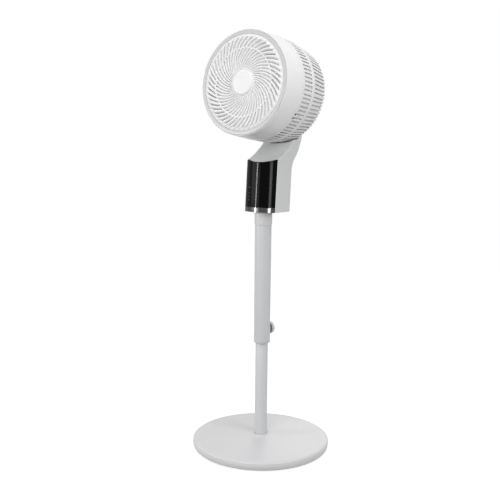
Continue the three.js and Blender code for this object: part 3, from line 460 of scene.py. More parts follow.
def lathe_piece(name, body, nodes, outline, material, place=Matrix(), segments=128):
    """Makes a finished piece from a turned outline."""
    points, faces = lathe(outline, segments)
    return piece(name, body, nodes, points, faces, material, place)


def solid(points, faces):
    """A loose mesh object used only to cut or join."""
    mesh = bpy.data.meshes.new("tool")
    mesh.from_pydata([Vector(point) * MM for point in points], [], faces)
    made = bpy.data.objects.new("tool", mesh)
    bpy.context.scene.collection.objects.link(made)
    face_outwards(mesh, 4)
    return made


def combined(base, *steps):
    """Applies boolean steps, each (operation, tool), and returns one new loose object."""
    for operation, tool in steps:
        step = base.modifiers.new("bool", "BOOLEAN")
        step.operation = operation
        step.solver = "EXACT"
        step.object = tool
    graph = bpy.context.evaluated_depsgraph_get()
    mesh = bpy.data.meshes.new_from_object(base.evaluated_get(graph))
    base.modifiers.clear()
    made = bpy.data.objects.new("tool", mesh)
    bpy.context.scene.collection.objects.link(made)
    return made


def bevelled(loose, width_mm, angle=32):
    """A mesh with its sharp edges rounded, shaded so that its large faces stay flat."""
    smooth_by_angle(loose.data, angle)
    bevel = loose.modifiers.new("bevel", "BEVEL")
    bevel.width = width_mm * MM
    bevel.segments = 3
    bevel.limit_method = "ANGLE"
    bevel.angle_limit = radians(angle)
    bevel.harden_normals = False
    weighted = loose.modifiers.new("weighted", "WEIGHTED_NORMAL")
    weighted.mode = "FACE_AREA"
    weighted.weight = 80
    weighted.keep_sharp = False
    graph = bpy.context.evaluated_depsgraph_get()
    return bpy.data.meshes.new_from_object(loose.evaluated_get(graph))


def extruded(outline, to_point, low, high):
    """A prism of an outline between two levels; to_point turns (u, v, level) into x, y, z."""
    return sweep([[to_point(u, v, level) for u, v in outline] for level in (low, high)])


def unbent(x, y, z):
    """For extruded: leaves an outline's points where they are."""
    return (x, y, z)


def drop_tools():
    """Removes what solid and combined have made, once the pieces are finished."""
    for made in [o for o in bpy.data.objects if o.name.startswith("tool")]:
        bpy.data.objects.remove(made, do_unlink=True)


# ---------------------------------------------------------------- base

def crown_height(r):
    """The base's top at a radius: highest in the middle."""
    share = r / BASE_R
    return BASE_EDGE_Z + (BASE_CROWN_Z - BASE_EDGE_Z) * (1 - share * share)


def make_base():
    """The crowned cover of the base, with the raised boss around the pole."""
    rim_r = PLATE_R + GAP
    outline = rounded([
        (rim_r, PLATE_Z),
        (BASE_R - 5.4, PLATE_Z, 1),
        (BASE_R - 2.4, 6.2, 2.5),
        (BASE_R - 1.2, 13, 3),
        (BASE_R - 1.6, 19.4, 1),
        (BASE_R - 4.2, crown_height(BASE_R - 5), 1.2),
    ], closed=False)
    outline += [(r, crown_height(r)) for r in range(150, 30, -10)]
    bore = INNER_TUBE_R + GAP
    outline += [
        (26, crown_height(26)),
        (24.4, crown_height(24) + 0.2),
        (23.2, crown_height(24) + 0.9),
        (22.3, BASE_CROWN_Z + 1.6),
        (21.2, BASE_CROWN_Z + 2),
        (15.6, BASE_CROWN_Z + 2),
        (bore, BASE_CROWN_Z + 1.4),
        (bore, BASE_CROWN_Z - BASE_WALL),
        (BASE_R - 12, crown_height(BASE_R - 12) - BASE_WALL),
        (rim_r, PLATE_Z + 4),
    ]
    lathe_piece(
        "base_dome", "root", ["base_cover"], outline, white_base, segments=192,
    )


# ---------------------------------------------------------------- pole

def bored_piece(name, nodes, outline, material):
    """A lathe piece of the mast, with the hole for the clamp boss and its shoe."""
    ring = solid(*lathe(outline, 96))
    mesh = combined(ring, ("DIFFERENCE", drilled(CLAMP_HOLE_R, 10, 30, 0, KNOB_Z))).data
    smooth_by_angle(mesh)
    finished(mesh, name, "mast", nodes, material)


def make_pole():
    """The two tubes, the bush that slides between them and the collar under the neck."""
    bore = INNER_TUBE_R - TUBE_WALL
    inner = [
        (bore, TUBE_BOTTOM),
        (INNER_TUBE_R, TUBE_BOTTOM),
        (INNER_TUBE_R, INNER_TUBE_TOP - 0.6),
        (INNER_TUBE_R - 0.4, INNER_TUBE_TOP),
        (bore, INNER_TUBE_TOP),
    ]
    lathe_piece(
        "inner_pole", "root", ["inner_tube"], inner, white_paint, segments=96,
    )

    outer_bore = OUTER_TUBE_R - TUBE_WALL
    outer = rounded([
        (outer_bore, MAST_BOTTOM + 5.3),
        (OUTER_TUBE_R, MAST_BOTTOM + 5.3, 0.4),
        (OUTER_TUBE_R, OUTER_TUBE_TOP - 0.5, 0.4),
        (outer_bore, OUTER_TUBE_TOP - 0.5),
    ])
    bored_piece("outer_pole", ["outer_tube"], outer, white_paint)

    bush = rounded([
        (INNER_TUBE_R + GAP, MAST_BOTTOM, 0.5),
        (OUTER_TUBE_R - 3.4, MAST_BOTTOM, 0.8),
        (OUTER_TUBE_R, MAST_BOTTOM + 3.4, 1),
        (OUTER_TUBE_R, MAST_BOTTOM + 5),
        (outer_bore - GAP, MAST_BOTTOM + 5),
        (outer_bore - GAP, MAST_BOTTOM + 43),
        (INNER_TUBE_R + GAP, MAST_BOTTOM + 43),
    ])
    bored_piece("pole_bush", ["lower_bush"], bush, white_neck)

    collar = rounded([
        (COLLAR_BORE_R, COLLAR_BOTTOM - 7),
        (outer_bore - GAP, COLLAR_BOTTOM - 7),
        (outer_bore - GAP, OUTER_TUBE_TOP + GAP),
        (OUTER_TUBE_R + GAP, OUTER_TUBE_TOP + GAP),
        (OUTER_TUBE_R + GAP, COLLAR_BOTTOM),
        (COLLAR_R, COLLAR_BOTTOM, 0.4),
        (COLLAR_R, COLLAR_TOP, 0.8),
        (COLLAR_BORE_R, COLLAR_TOP),
    ])
    lathe_piece(
        "pole_collar", "mast", ["top_collar"], collar, white_neck, segments=96,
    )
    drop_tools()


def make_knob():
    """The height knob, with shallow flutes around its grip."""
    outline = rounded([
        (0, KNOB_OUTER_Y),
        (KNOB_R - 4, KNOB_OUTER_Y, 5),
        (KNOB_R - 0.2, KNOB_OUTER_Y - 2.6, 2),
        (KNOB_R, KNOB_INNER_Y, 0.8),
        (KNOB_R - 2.2, KNOB_INNER_Y, 0.5),
        (KNOB_R - 2.2, KNOB_INNER_Y + 5),
        (KNOB_CORE_R, KNOB_INNER_Y + 5),
        (KNOB_CORE_R, KNOB_INNER_Y, 0.3),
        (KNOB_STUD_R, KNOB_INNER_Y),
        (KNOB_STUD_R, KNOB_INNER_Y + 6.3),
        (0, KNOB_INNER_Y + 6.3),
    ], closed=False)[::-1]
    points, faces = lathe(outline, KNOB_FLUTES * 8)
    fluted = []
    for x, y, z in points:
        r = hypot(x, y)
        grip = max(0, min(1, (r - 12.5) / 2.5)) * (z < KNOB_OUTER_Y - 1.6)
        wave = 0.5 - 0.5 * cos(atan2(y, x) * KNOB_FLUTES)
        share = 1 - grip * KNOB_FLUTE_DEPTH * wave / max(r, 1)
        fluted.append((x * share, y * share, z))
    place = Matrix.Translation((0, 0, KNOB_Z)) @ ALONG_Y
    piece("grip_knob", "knob", ["height_knob"], fluted, faces, white_neck, place)


# ---------------------------------------------------------------- neck

def lean_at(z):
    """How far the neck's front and back have moved rearwards at a level."""
    return (z - NECK_BOTTOM) * NECK_LEAN


def spline(points, steps=8):
    """A smooth curve through the points, end to end."""
    padded = [points[0], *points, points[-1]]
    curve = []
    for i in range(1, len(padded) - 2):
        p0, p1, p2, p3 = (Vector(p) for p in padded[i - 1:i + 3])
        for step in range(steps):
            t = step / steps
            curve.append(tuple(0.5 * (
                2 * p1 + (p2 - p0) * t
                + (2 * p0 - 5 * p1 + 4 * p2 - p3) * t ** 2
                + (3 * p1 - p0 - 3 * p2 + p3) * t ** 3
            )))
    curve.append(tuple(points[-1]))
    return curve


def neck_side_outline():
    """Side view of the neck and of the arm behind the head, as (y, z)."""
    ahead = -45  # further forward than the plan, which cuts this outline off
    rear = spline([
        (NECK_REAR_Y + lean_at(610), 610),
        (NECK_REAR_Y + lean_at(NECK_SHOULDER_Z), NECK_SHOULDER_Z),
        (61.5, 667.5),
        (75.5, 685),
        (85.8, 703),
        (93.5, 723),
        (104, 765),
        (PIVOT_Y + EAR_R, PIVOT_Z),
    ])
    ear = [(PIVOT_Y + EAR_R * cos(a), PIVOT_Z + EAR_R * sin(a))
           for a in (pi * k / 16 for k in range(1, 16))]
    front = spline([
        (PIVOT_Y - EAR_R, PIVOT_Z),
        (74, 765),
        (66, 735),
        (54, 712),
        (40, 698.5),
        (16, 682),
        (-8, 669.3),
        (-22, 662.6),
        (ahead, 652),
    ])
    del front[-4:-1]  # the corner needs a straight run longer than the edge radius
    low = NECK_BOTTOM - 2 * NECK_EDGE_R
    return [(ahead, low), (NECK_REAR_Y - 0.8, low), *rear, *ear, *front]


def inset(outline, depth):
    """The closed outline moved inward by a depth, point by point."""
    count = len(outline)
    area = sum(
        outline[i - 1][0] * outline[i][1] - outline[i][0] * outline[i - 1][1]
        for i in range(count)
    )
    turn = 1 if area > 0 else -1
    moved = []
    for i, here in enumerate(outline):
        into = (Vector(here) - Vector(outline[i - 1])).normalized()
        out = (Vector(outline[(i + 1) % count]) - Vector(here)).normalized()
        side = Vector((-(into.y + out.y), into.x + out.x)).normalized() * turn
        reach = depth / max(side.dot(Vector((-into.y, into.x)) * turn), 0.5)
        moved.append(tuple(Vector(here) + side * reach))
    return moved


def rounded_side(steps=6):
    """The neck's side view, as wide as the neck and rounded along both of its edges."""
    outline = neck_side_outline()
    sections = []
    for side in (-1, 1):
        turns = [pi / 2 * k / steps for k in range(steps + 1)]
        for a in (turns[::-1] if side < 0 else turns):
            x = side * (NECK_HALF_W - NECK_EDGE_R * (1 - sin(a)))
            loop = inset(outline, NECK_EDGE_R * (1 - cos(a)))
            sections.append([tapered(x, y, z) for y, z in loop])
    return solid(*sweep(sections))


def front_arc(half_width, depth=0, steps=28):
    """The convex front of the neck in plan, or a curve at a depth under it."""
    radius = NECK_FRONT_CURVE_R - depth
    centre = NECK_FRONT_Y + NECK_FRONT_CURVE_R
    half = asin(half_width / radius)
    angles = [-half + 2 * half * k / steps for k in range(steps + 1)]
    return [(radius * sin(a), centre - radius * cos(a)) for a in angles]


def leaning(x, y, z):
    """For extruded: leans an outline with the neck's front and back."""
    return (x, y + lean_at(z), z)


def tapered(x, y, z):
    """Narrows the arm towards its fork."""
    rise = (z - ARM_TAPER_FROM) / (ARM_TAPER_TO - ARM_TAPER_FROM)
    share = min(max(rise, 0), 1)
    share = share * share * (3 - 2 * share)
    return (x * (1 - share * (1 - ARM_TOP_W / (2 * NECK_HALF_W))), y, z)


def turned_solid(outline, place, segments):
    """A solid of revolution to cut or join, set in its place."""
    points, faces = lathe(outline, segments)
    return solid([place @ Vector(point) for point in points], faces)


def drilled(radius, low, high, x, z):
    """A rod along Y that cuts a round hole."""
    place = Matrix.Translation((x, 0, z)) @ ALONG_Y
    return turned_solid([(0, low), (radius, low), (radius, high), (0, high)], place, 40)


def box(x0, x1, y0, y1, z0, z1, to_point):
    """A block between the given limits, upright or leaning with the neck."""
    plan = [(x0, y0), (x1, y0), (x1, y1), (x0, y1)]
    return solid(*extruded(plan, to_point, z0, z1))


def front_slice(half_width, depth, low, high):
    """Everything ahead of a surface that lies at a depth under the neck's front."""
    arc = front_arc(half_width, depth)
    outline = [(-half_width, CUT_FRONT), *arc, (half_width, CUT_FRONT)]
    return solid(*extruded(outline, leaning, low, high))


def cradle_space():
    """The room that the basket needs over the arm."""
    gap = 3
    outline = [
        (0, SHELL_DEPTH),
        (REAR_R + gap, SHELL_DEPTH),
        (REAR_R + gap, REAR_BAND_END),
        (REAR_BACK_R + gap, REAR_CORNER_Y),
        (REAR_BACK_R + gap - REAR_CORNER, REAR_FACE_Y + gap),
        (0, REAR_HUB_Y + gap),
    ]
    return turned_solid(outline, HEAD @ ALONG_Y, 160)


def neck_blank():
    """The neck and its arm in one piece, before they are cut into parts."""
    arc = front_arc(NECK_HALF_W)
    beyond = NECK_HALF_W + 2
    side_y = arc[0][1]
    plan = [(-beyond, side_y), *arc, (beyond, side_y), (beyond, CUT_REAR), (-beyond, CUT_REAR)]
    prism = solid(*extruded(plan, leaning, NECK_BOTTOM, CUT_TOP))
    return combined(rounded_side(), ("INTERSECT", prism), ("DIFFERENCE", cradle_space()))


def cover_screw_places():
    """Where the four cover screws meet the rear face."""
    x = CAVITY_HALF_W - CORNER_POST / 2
    low = CAVITY_FLOOR + CORNER_POST / 2 + 1
    high = CAVITY_TOP - CORNER_POST / 2
    return [(side * x, NECK_REAR_Y + lean_at(z), z) for z in (low, high) for side in (-1, 1)]


def neck_piece(loose, width_mm, name, node, material):
    """Makes a finished piece of the neck, with its edges rounded."""
    finished(bevelled(loose, width_mm), name, "neck", [node], material)


def make_neck():
    """The neck's shell, rear cover, panel and trim band, all cut from one blank."""
    blank = neck_blank()
    skin = front_slice(PANEL_HALF_W + 0.35, PANEL_T + GAP, NECK_BOTTOM - 1, CUT_TOP)
    slot_floor = PIVOT_Z - FORK_SLOT_DEPTH
    fork = box(-FORK_SLOT_HALF_W, FORK_SLOT_HALF_W, 0, CUT_REAR, slot_floor, CUT_TOP, unbent)
    half = CAVITY_HALF_W
    rear_y = NECK_REAR_Y - COVER_T
    behind = 75  # past the rear face of the housing
    pocket = box(-half, half, rear_y - GAP, behind, CAVITY_FLOOR, CAVITY_TOP, leaning)
    body = combined(blank, ("DIFFERENCE", skin), ("DIFFERENCE", fork), ("DIFFERENCE", pocket))
    neck_piece(body, 0.5, "neck_body", "neck_shell", white_neck)

    half -= GAP
    slab = box(-half, half, rear_y, behind, CAVITY_FLOOR + GAP, CAVITY_TOP - GAP, leaning)
    holes = [("DIFFERENCE", drilled(INLET_R + GAP, 0, 80, 0, INLET_Z))]
    holes += [
        ("DIFFERENCE", drilled(SCREW_HEAD_R + GAP, y - 1.9, 80, x, z))
        for x, y, z in cover_screw_places()
    ]
    cover = combined(blank, ("INTERSECT", slab), *holes)
    neck_piece(cover, 0.4, "rear_cover", "neck_rear_cover", white_neck)

    panel_cut = front_slice(PANEL_HALF_W, PANEL_T, TRIM_TOP, CUT_TOP)
    panel = combined(blank, ("INTERSECT", panel_cut))
    neck_piece(panel, 0.4, "gloss_panel", "control_panel", black_panel)

    trim_cut = front_slice(PANEL_HALF_W, PANEL_T, NECK_BOTTOM - 1, TRIM_TOP - GAP)
    trim = combined(blank, ("INTERSECT", trim_cut))
    # the trim band's chrome is coloured nearly black: a painted dark reflection
    neck_piece(trim, 0.4, "trim_band", "chrome_trim", chrome)
    drop_tools()


def make_panel_marks():
    """Four plain touch marks, printed on the panel as thin dots."""
    marks = [(-25.4, 607, 1.5), (-25.8, 594, 1), (-26.1, 586.5, 1), (-26.4, 579, 1)]
    for i, (x, z, radius) in enumerate(marks):
        ahead = sqrt(NECK_FRONT_CURVE_R ** 2 - x * x)
        surface = Vector((x, NECK_FRONT_Y + NECK_FRONT_CURVE_R - ahead + lean_at(z), z))
        outward = Vector((x, -ahead, NECK_LEAN * ahead)).normalized()
        place = Matrix.Translation(surface) @ outward.to_track_quat("Z", "Y").to_matrix().to_4x4()
        outline = [(0, -0.3), (radius, -0.3), (radius, 0.04), (0, 0.05)]
        lathe_piece(
            f"touch_mark_{i + 1}", "neck", [], outline, panel_mark, place, 24,
        )


def make_cover_screws():
    outline = [
        (0, -1), (0.9, -1), (1.2, -0.45), (2.4, -0.35), (2.9, -0.75), (SCREW_HEAD_R, -1.6),
        (SCREW_R, -1.7), (SCREW_R, -9.8), (0, -9.8),
    ]
    for i, spot in enumerate(cover_screw_places()):
        place = Matrix.Translation(spot) @ ALONG_Y
        lathe_piece(
            f"cover_fixing_{i + 1}", "neck", [f"cover_screw_{i + 1}"],
            outline, bare_steel, place, 32,
        )


def make_power_inlet():
    face = NECK_REAR_Y + lean_at(INLET_Z) - 0.6
    outline = [
        (0, -12), (INLET_R, -12), (INLET_R, -0.4), (5.1, 0), (3.8, 0), (3.4, -0.4),
        (3.4, -8), (1, -8), (1, -1.4), (0.6, -1), (0, -1),
    ]
    place = Matrix.Translation((0, face, INLET_Z)) @ ALONG_Y
    lathe_piece(
        "inlet_socket", "neck", ["power_inlet"], outline, dark_plastic, place, 48,
    )


# ---------------------------------------------------------------- tilt hinge

def make_tilt_hinge():
    """The pin, its two friction washers and the head's bracket."""
    pivot = Matrix.Translation((0, PIVOT_Y, PIVOT_Z)) @ ALONG_X
    ear = ARM_TOP_W / 2 + GAP
    pin = [
        (0, -ear - 5), (3.6, -ear - 5), (4, -ear - 4.6), (4, ear), (PIN_HEAD_R, ear),
        (PIN_HEAD_R, ear + 1.6), (PIN_HEAD_R - 1, ear + 2.4), (0, ear + 2.6),
    ]
    lathe_piece("hinge_pin", "neck", ["tilt_pin"], pin, bare_steel, pivot, 64)
    for side_name, side in (("left", -1), ("right", 1)):
        near, far = sorted((side * (LUG_HALF_W + GAP), side * (FORK_SLOT_HALF_W - GAP)))
        washer = [(PIN_BORE_R, near), (WASHER_R, near), (WASHER_R, far), (PIN_BORE_R, far)]
        lathe_piece(
            f"{side_name}_washer", "neck", [f"friction_washer_{side_name}"],
            washer, dark_plastic, pivot, 64,
        )

    face = MOTOR_COVER_BACK_Y + GAP
    back = face + 1.7
    disc = [(0, face), (LUG_PLATE_R, face), (LUG_PLATE_R, back, 0.6), (0, back)]
    plate = turned_solid(rounded(disc, closed=False), ALONG_Y, 96)
    web = box(-LUG_HALF_W, LUG_HALF_W, face, RING_TO_PIVOT, -LUG_R, LUG_R, unbent)
    at_pivot = Matrix.Translation((0, RING_TO_PIVOT, 0)) @ ALONG_X
    eye = turned_solid([
        (0, -LUG_HALF_W), (LUG_R, -LUG_HALF_W), (LUG_R, LUG_HALF_W), (0, LUG_HALF_W),
    ], at_pivot, 64)
    bore = turned_solid([(0, -30), (PIN_BORE_R, -30), (PIN_BORE_R, 30), (0, 30)], at_pivot, 48)
    bracket = combined(plate, ("UNION", web), ("UNION", eye), ("DIFFERENCE", bore))
    mesh = bevelled(bracket, 0.7)
    mesh.transform(Matrix.Scale(MM, 4) @ HEAD @ Matrix.Scale(1 / MM, 4))
    smooth_by_angle(mesh, 30)
    finished(mesh, "hinge_bracket", "head", ["tilt_bracket"], white_plastic)
    drop_tools()


# ---------------------------------------------------------------- head

def head_piece(name, node, outline, material, segments):
    """A turned piece of the head, about the fan's axis."""
    lathe_piece(name, "head", [node], outline, material, HEAD @ ALONG_Y, segments)


def make_shell():
    """The drum, with the lip that carries the trim ring and the step that the basket clips to."""
    outline = rounded([
        (LIP_INNER_R, 4.3),
        (TRIM_OUTER_R + GAP, 4.3),
        (TRIM_OUTER_R + GAP, -1.5, 0.5),
        (SHELL_FRONT_R - 0.3, -2.1, 0.8),
        (SHELL_FRONT_R + 0.1, 2, 2),
        (SHELL_FRONT_R + 1.4, 40, 8),
        (SHELL_REAR_R, SHELL_DEPTH, 0.5),
        (SEAT_R, SHELL_DEPTH),
        (SEAT_R, SHELL_DEPTH + 4),
        (SEAT_R - 2.5, SHELL_DEPTH + 4),
        (110.6, 7.1),
        (LIP_INNER_R, 7.1),
    ])
    head_piece("drum_shell", "front_shell", outline, white_plastic, 192)


def make_trim_ring():
    outline = rounded([
        (TRIM_INNER_R, 4),
        (TRIM_INNER_R, TRIM_FACE_Y, 0.6),
        (TRIM_OUTER_R, TRIM_FACE_Y, 0.8),
        (TRIM_OUTER_R, 4),
    ])
    head_piece("trim_hoop", "trim_ring", outline, grey_trim, 192)


def vane_twist(r):
    """How far a vane has turned at a radius, counted from the radius that its phase is set at."""
    def turn_at(radius):
        share = (radius - VANE_HUB_R) / (VANE_RIM_R - VANE_HUB_R)
        return VANE_SWEEP * share * (1.12 - 0.12 * share)
    return turn_at(VANE_PHASE_R) - turn_at(r)


def along_head_y(outline, segments=192):
    """A turned part of the head, ready to merge with its ribs."""
    points, faces = lathe(outline, segments)
    return [tuple(ALONG_Y @ Vector(point)) for point in points], faces


def rim_share(r):
    """0 at the hub and 1 at the rim."""
    return min(max((r - VANE_HUB_R) / (VANE_RIM_R - VANE_HUB_R), 0), 1)


def dish(r):
    """The front line of the vanes: a shallow dish that rolls back over the rim's shoulder."""
    rolled = max(0, (r - SHOULDER_R) / SHOULDER_W) ** 1.5
    return VANE_HUB_Y - VANE_RISE * rim_share(r) + SHOULDER_DROP * rolled


def vane(k, steps=30):
    """One spiral vane, rounded in front, with flared flanks that narrow the groove beside it."""
    sections = []
    pitch = 2 * pi / VANE_COUNT
    for step in range(steps + 1):
        r = VANE_START_R + (VANE_END_R - VANE_START_R) * step / steps
        centre = vane_twist(r) + k * pitch
        share = VANE_SHARE + VANE_HUB_FLARE * (1 - rim_share(r)) ** 2
        front = dish(r)
        depth = 9 if r < RIM_INNER_R - 1.6 else 6
        section = []
        for across, back in [
            (-0.5, 2), (-0.43, 0.75), (-0.24, 0.12), (0, 0), (0.24, 0.12), (0.43, 0.75), (0.5, 2),
            (0.8, 4.6), (0.5, depth), (-0.5, depth), (-0.8, 4.6),
        ]:
            angle = centre + across * pitch * share
            section.append((r * cos(angle), front + back, r * sin(angle)))
        sections.append(section)
    return sweep(sections)


def make_front_grille():
    """The spiral grille: its vanes with a rim, a middle ring and a hub ring."""
    parts = [vane(k) for k in range(VANE_COUNT)]
    rim = rounded([
        (RIM_INNER_R, 4),
        (RIM_INNER_R, -2.2, 0.6),
        (97.4, -3.4, 0.8),
        (99.5, -3.6, 1),
        (TRIM_INNER_R - GAP, TRIM_FACE_Y + 0.5, 1),
        (TRIM_INNER_R - GAP, 4),
    ])
    ring_end = VANE_RING_R + VANE_RING_W
    mid_front = dish(VANE_RING_R + VANE_RING_W / 2) + 0.15
    mid = rounded([
        (VANE_RING_R, 3),
        (VANE_RING_R, mid_front, 1.1),
        (ring_end, mid_front, 1.1),
        (ring_end, 3),
    ])
    hub = rounded([
        (HUB_RING_R, 4),
        (HUB_RING_R, -3, 0.3),
        (VANE_HUB_R + 0.5, -3, 0.8),
        (VANE_HUB_R + 0.5, 4),
    ])
    parts += [along_head_y(outline) for outline in (rim, mid, hub)]
    points, faces = merged(*parts)
    piece(
        "spiral_grille", "head", ["front_grille"], points, faces,
        white_grille, HEAD,
    )


def make_hub_cap():
    outline = rounded([
        (0, 4),
        (0, HUB_CAP_Y - 0.1),
        (14, HUB_CAP_Y - 0.06),
        (HUB_CAP_R - 3.4, HUB_CAP_Y, 1.2),
        (HUB_CAP_R - 0.1, -3, 0.5),
        (HUB_CAP_R, -2),
        (HUB_CAP_R, 4),
    ])
    head_piece("hub_disc", "hub_cap", outline, white_plastic, 128)


def rear_path():
    """The outer line of a rear rib as (radius, y), from the seam to the eye."""
    path = [(REAR_R, 59), (REAR_R, 80), (REAR_R, 98.5), (REAR_R, REAR_BAND_END)]
    for k in (1, 2, 3):
        r = REAR_R + (REAR_BACK_R - REAR_R) * k / 4
        path.append((r, REAR_BAND_END + (REAR_CORNER_Y - REAR_BAND_END) * k / 4))
    path += rounded([
        (REAR_BACK_R + 0.4, REAR_CORNER_Y - 4),
        (REAR_BACK_R - 0.3, REAR_CORNER_Y + 1.2, 3),
        (REAR_BACK_R - REAR_CORNER, REAR_FACE_Y - 0.1, 5),
        (REAR_BACK_R - 3 * REAR_CORNER, REAR_FACE_Y + 0.1),
    ], steps=3, closed=False)
    return path + [(80, REAR_FACE_Y + 0.5), (REAR_EYE_R + 3, REAR_HUB_Y - 0.1)]


def rear_rib(angle, share, path):
    """One rib along the path, as wide as its share of the pitch."""
    sections = []
    pitch = 2 * pi / REAR_RIB_COUNT
    for i, (r, y) in enumerate(path):
        ahead = Vector(path[min(i + 1, len(path) - 1)]) - Vector(path[max(i - 1, 0)])
        inward = Vector((-ahead.y, ahead.x)).normalized()
        depth = REAR_RIB_T if y < REAR_FACE_Y - 1 else REAR_RIB_T - 1.5
        section = []
        for across, deep in [
            (-1, 0.8), (-0.8, 0.12), (0, 0), (0.8, 0.12), (1, 0.8), (0.4, depth), (-0.4, depth),
        ]:
            turn = angle + across * pitch * share / 2
            radius = r + inward.x * deep
            section.append((radius * cos(turn), y + inward.y * deep, radius * sin(turn)))
        sections.append(section)
    return sweep(sections)


def guard_slat(k, steps=16):
    """One slanted slat of the inner guard that lies behind the ribs."""
    sections = []
    pitch = 2 * pi / GUARD_COUNT
    for step in range(steps + 1):
        y = GUARD_FRONT_Y + (REAR_CORNER_Y - GUARD_FRONT_Y) * step / steps
        taper = max(0, (y - REAR_BAND_END) / (REAR_CORNER_Y - REAR_BAND_END))
        outer = REAR_R - REAR_RIB_T - 0.2 - taper * (REAR_R - REAR_BACK_R)
        angle = k * pitch + GUARD_TWIST * step / steps
        section = []
        for across, deep in [(-0.43, 0.4), (0, 0), (0.43, 0.4), (0.4, 2.4), (-0.4, 2.4)]:
            turn = angle + across * pitch
            section.append(((outer - deep) * cos(turn), y, (outer - deep) * sin(turn)))
        sections.append(section)
    return sweep(sections)


def clip_block(inner, outer, low, high, half_width, angle):
    """Points and faces of a block at a clip's place, between two radii and two levels."""
    outline = [(inner, low), (outer, low), (outer, high), (inner, high)]
    points, faces = extruded(outline, unbent, -half_width, half_width)
    turned = Matrix.Rotation(-angle, 4, "Y")
    return [turned @ Vector(point) for point in points], faces


def clip_ring(outline):
    """The ring at the seam, with its two square clip windows."""
    ring = turned_solid(outline, ALONG_Y, 240)
    cuts = [
        ("DIFFERENCE", solid(*clip_block(REAR_R - 2.6, REAR_R + 2, 58, 62, 2, angle)))
        for angle in CLIP_ANGLES
    ]
    mesh = combined(ring, *cuts).data
    points = [tuple(vertex.co / MM) for vertex in mesh.vertices]
    faces = [list(face.vertices) for face in mesh.polygons]
    drop_tools()
    return points, faces


def make_rear_grille():
    """The ribbed basket with its inner guard, and near-black blocks in its clip windows: painted
    shade where the windows look dark inside.
    """
    path = rear_path()
    pitch = 2 * pi / REAR_RIB_COUNT
    parts = []
    for k in range(REAR_RIB_COUNT):
        share = SEAM_BAR_SHARE if k == SEAM_BAR % REAR_RIB_COUNT else REAR_RIB_SHARE
        parts.append(rear_rib((k + 0.5) * pitch, share, path))
    parts += [guard_slat(k) for k in range(GUARD_COUNT)]
    parts.append(clip_ring(rounded([
        (REAR_R - 3.2, 58.3),
        (REAR_R, 58.3, 0.3),
        (REAR_R, REAR_RING_END, 0.5),
        (REAR_R - 7, REAR_RING_END + 1),
        (REAR_R - 7, 62.2),
        (REAR_R - 3.2, 62.2),
    ])))
    parts.append(along_head_y(rounded([
        (REAR_R - REAR_RIB_T, REAR_BAND_Y),
        (REAR_R, REAR_BAND_Y, 0.5),
        (REAR_R, REAR_BAND_END, 0.5),
        (REAR_R - REAR_RIB_T, REAR_BAND_END),
    ])))
    parts.append(along_head_y(rounded([
        (REAR_BACK_R - 11.5, REAR_CORNER_Y - 3),
        (REAR_BACK_R - 7, REAR_CORNER_Y - 3),
        (REAR_BACK_R - 7.6, REAR_CORNER_Y + 1),
        (REAR_BACK_R - 11.5, REAR_CORNER_Y + 1),
    ])))
    parts.append(along_head_y(rounded([
        (REAR_EYE_R, REAR_HUB_Y - REAR_RIB_T),
        (REAR_EYE_R + REAR_EYE_W, REAR_HUB_Y - REAR_RIB_T),
        (REAR_EYE_R + REAR_EYE_W, REAR_HUB_Y, 0.6),
        (REAR_EYE_R, REAR_HUB_Y, 0.6),
    ])))
    points, faces = merged(*parts)
    piece(
        "rear_basket", "head", ["rear_grille"], points, faces,
        white_grille, HEAD,
    )

    # near-black blocks that fill the two clip windows: painted shade inside the windows
    points, faces = merged(*(
        clip_block(REAR_R - 2.5, REAR_R + 0.1, 58.4, 61.9, 1.9, angle) for angle in CLIP_ANGLES
    ))
    piece("clip_hooks", "head", [], points, faces, window_shade_black, HEAD)


def make_motor():
    """The motor's cover in the basket's eye, and the motor's can."""
    outer = REAR_EYE_R - GAP
    back = MOTOR_COVER_BACK_Y
    cover = rounded([
        (0, back - 3),
        (outer - 3, back - 3),
        (outer - 3, back - 11),
        (outer, back - 11),
        (outer, back, 1.2),
        (0, back),
    ])
    head_piece("motor_disc", "motor_cover", cover, white_plastic, 128)

    rear = back - 3.3
    front = rear - 52
    seam_r = MOTOR_R + 1.4
    can = rounded([
        (MOTOR_BORE_R, front - 5),
        (12, front - 5, 0.8),
        (12, front),
        (MOTOR_R, front, 3),
        (MOTOR_R, rear - 34, 0.5),
        (seam_r, rear - 34, 0.5),
        (seam_r, rear - 31, 0.5),
        (MOTOR_R, rear - 31, 0.5),
        (MOTOR_R, rear),
        (0, rear),
        (0, rear - 37),
        (MOTOR_BORE_R, rear - 37),
    ])
    head_piece("motor_can", "fan_motor", can, aluminium, 96)


def blade(turn, along=16, across=12):
    """A swept and cambered blade with rounded edges, from inside the hub to the tip."""
    sections = []
    for j in range(along + 1):
        span = j / along
        r = BLADE_ROOT_R + span * (BLADE_TIP_R - BLADE_ROOT_R)
        chord = radians(58 - 14 * span)
        depth = 34 - 12 * span
        sweep_back = radians(34) * span * span
        loop = []
        for side in (1, -1):
            for i in range(across + 1):
                place = (i / across - 0.5) * side
                angle = turn + sweep_back + chord * place
                camber = 5 * (1 - 4 * place * place) * (0.4 + 0.6 * span)
                thick = 1.1 * sqrt(max(0, 1 - (2 * abs(place)) ** 6)) * side
                y = BLADE_MID_Y + depth * place + camber + thick
                loop.append((r * cos(angle), y, r * sin(angle)))
        sections.append(loop)
    return sweep(sections)


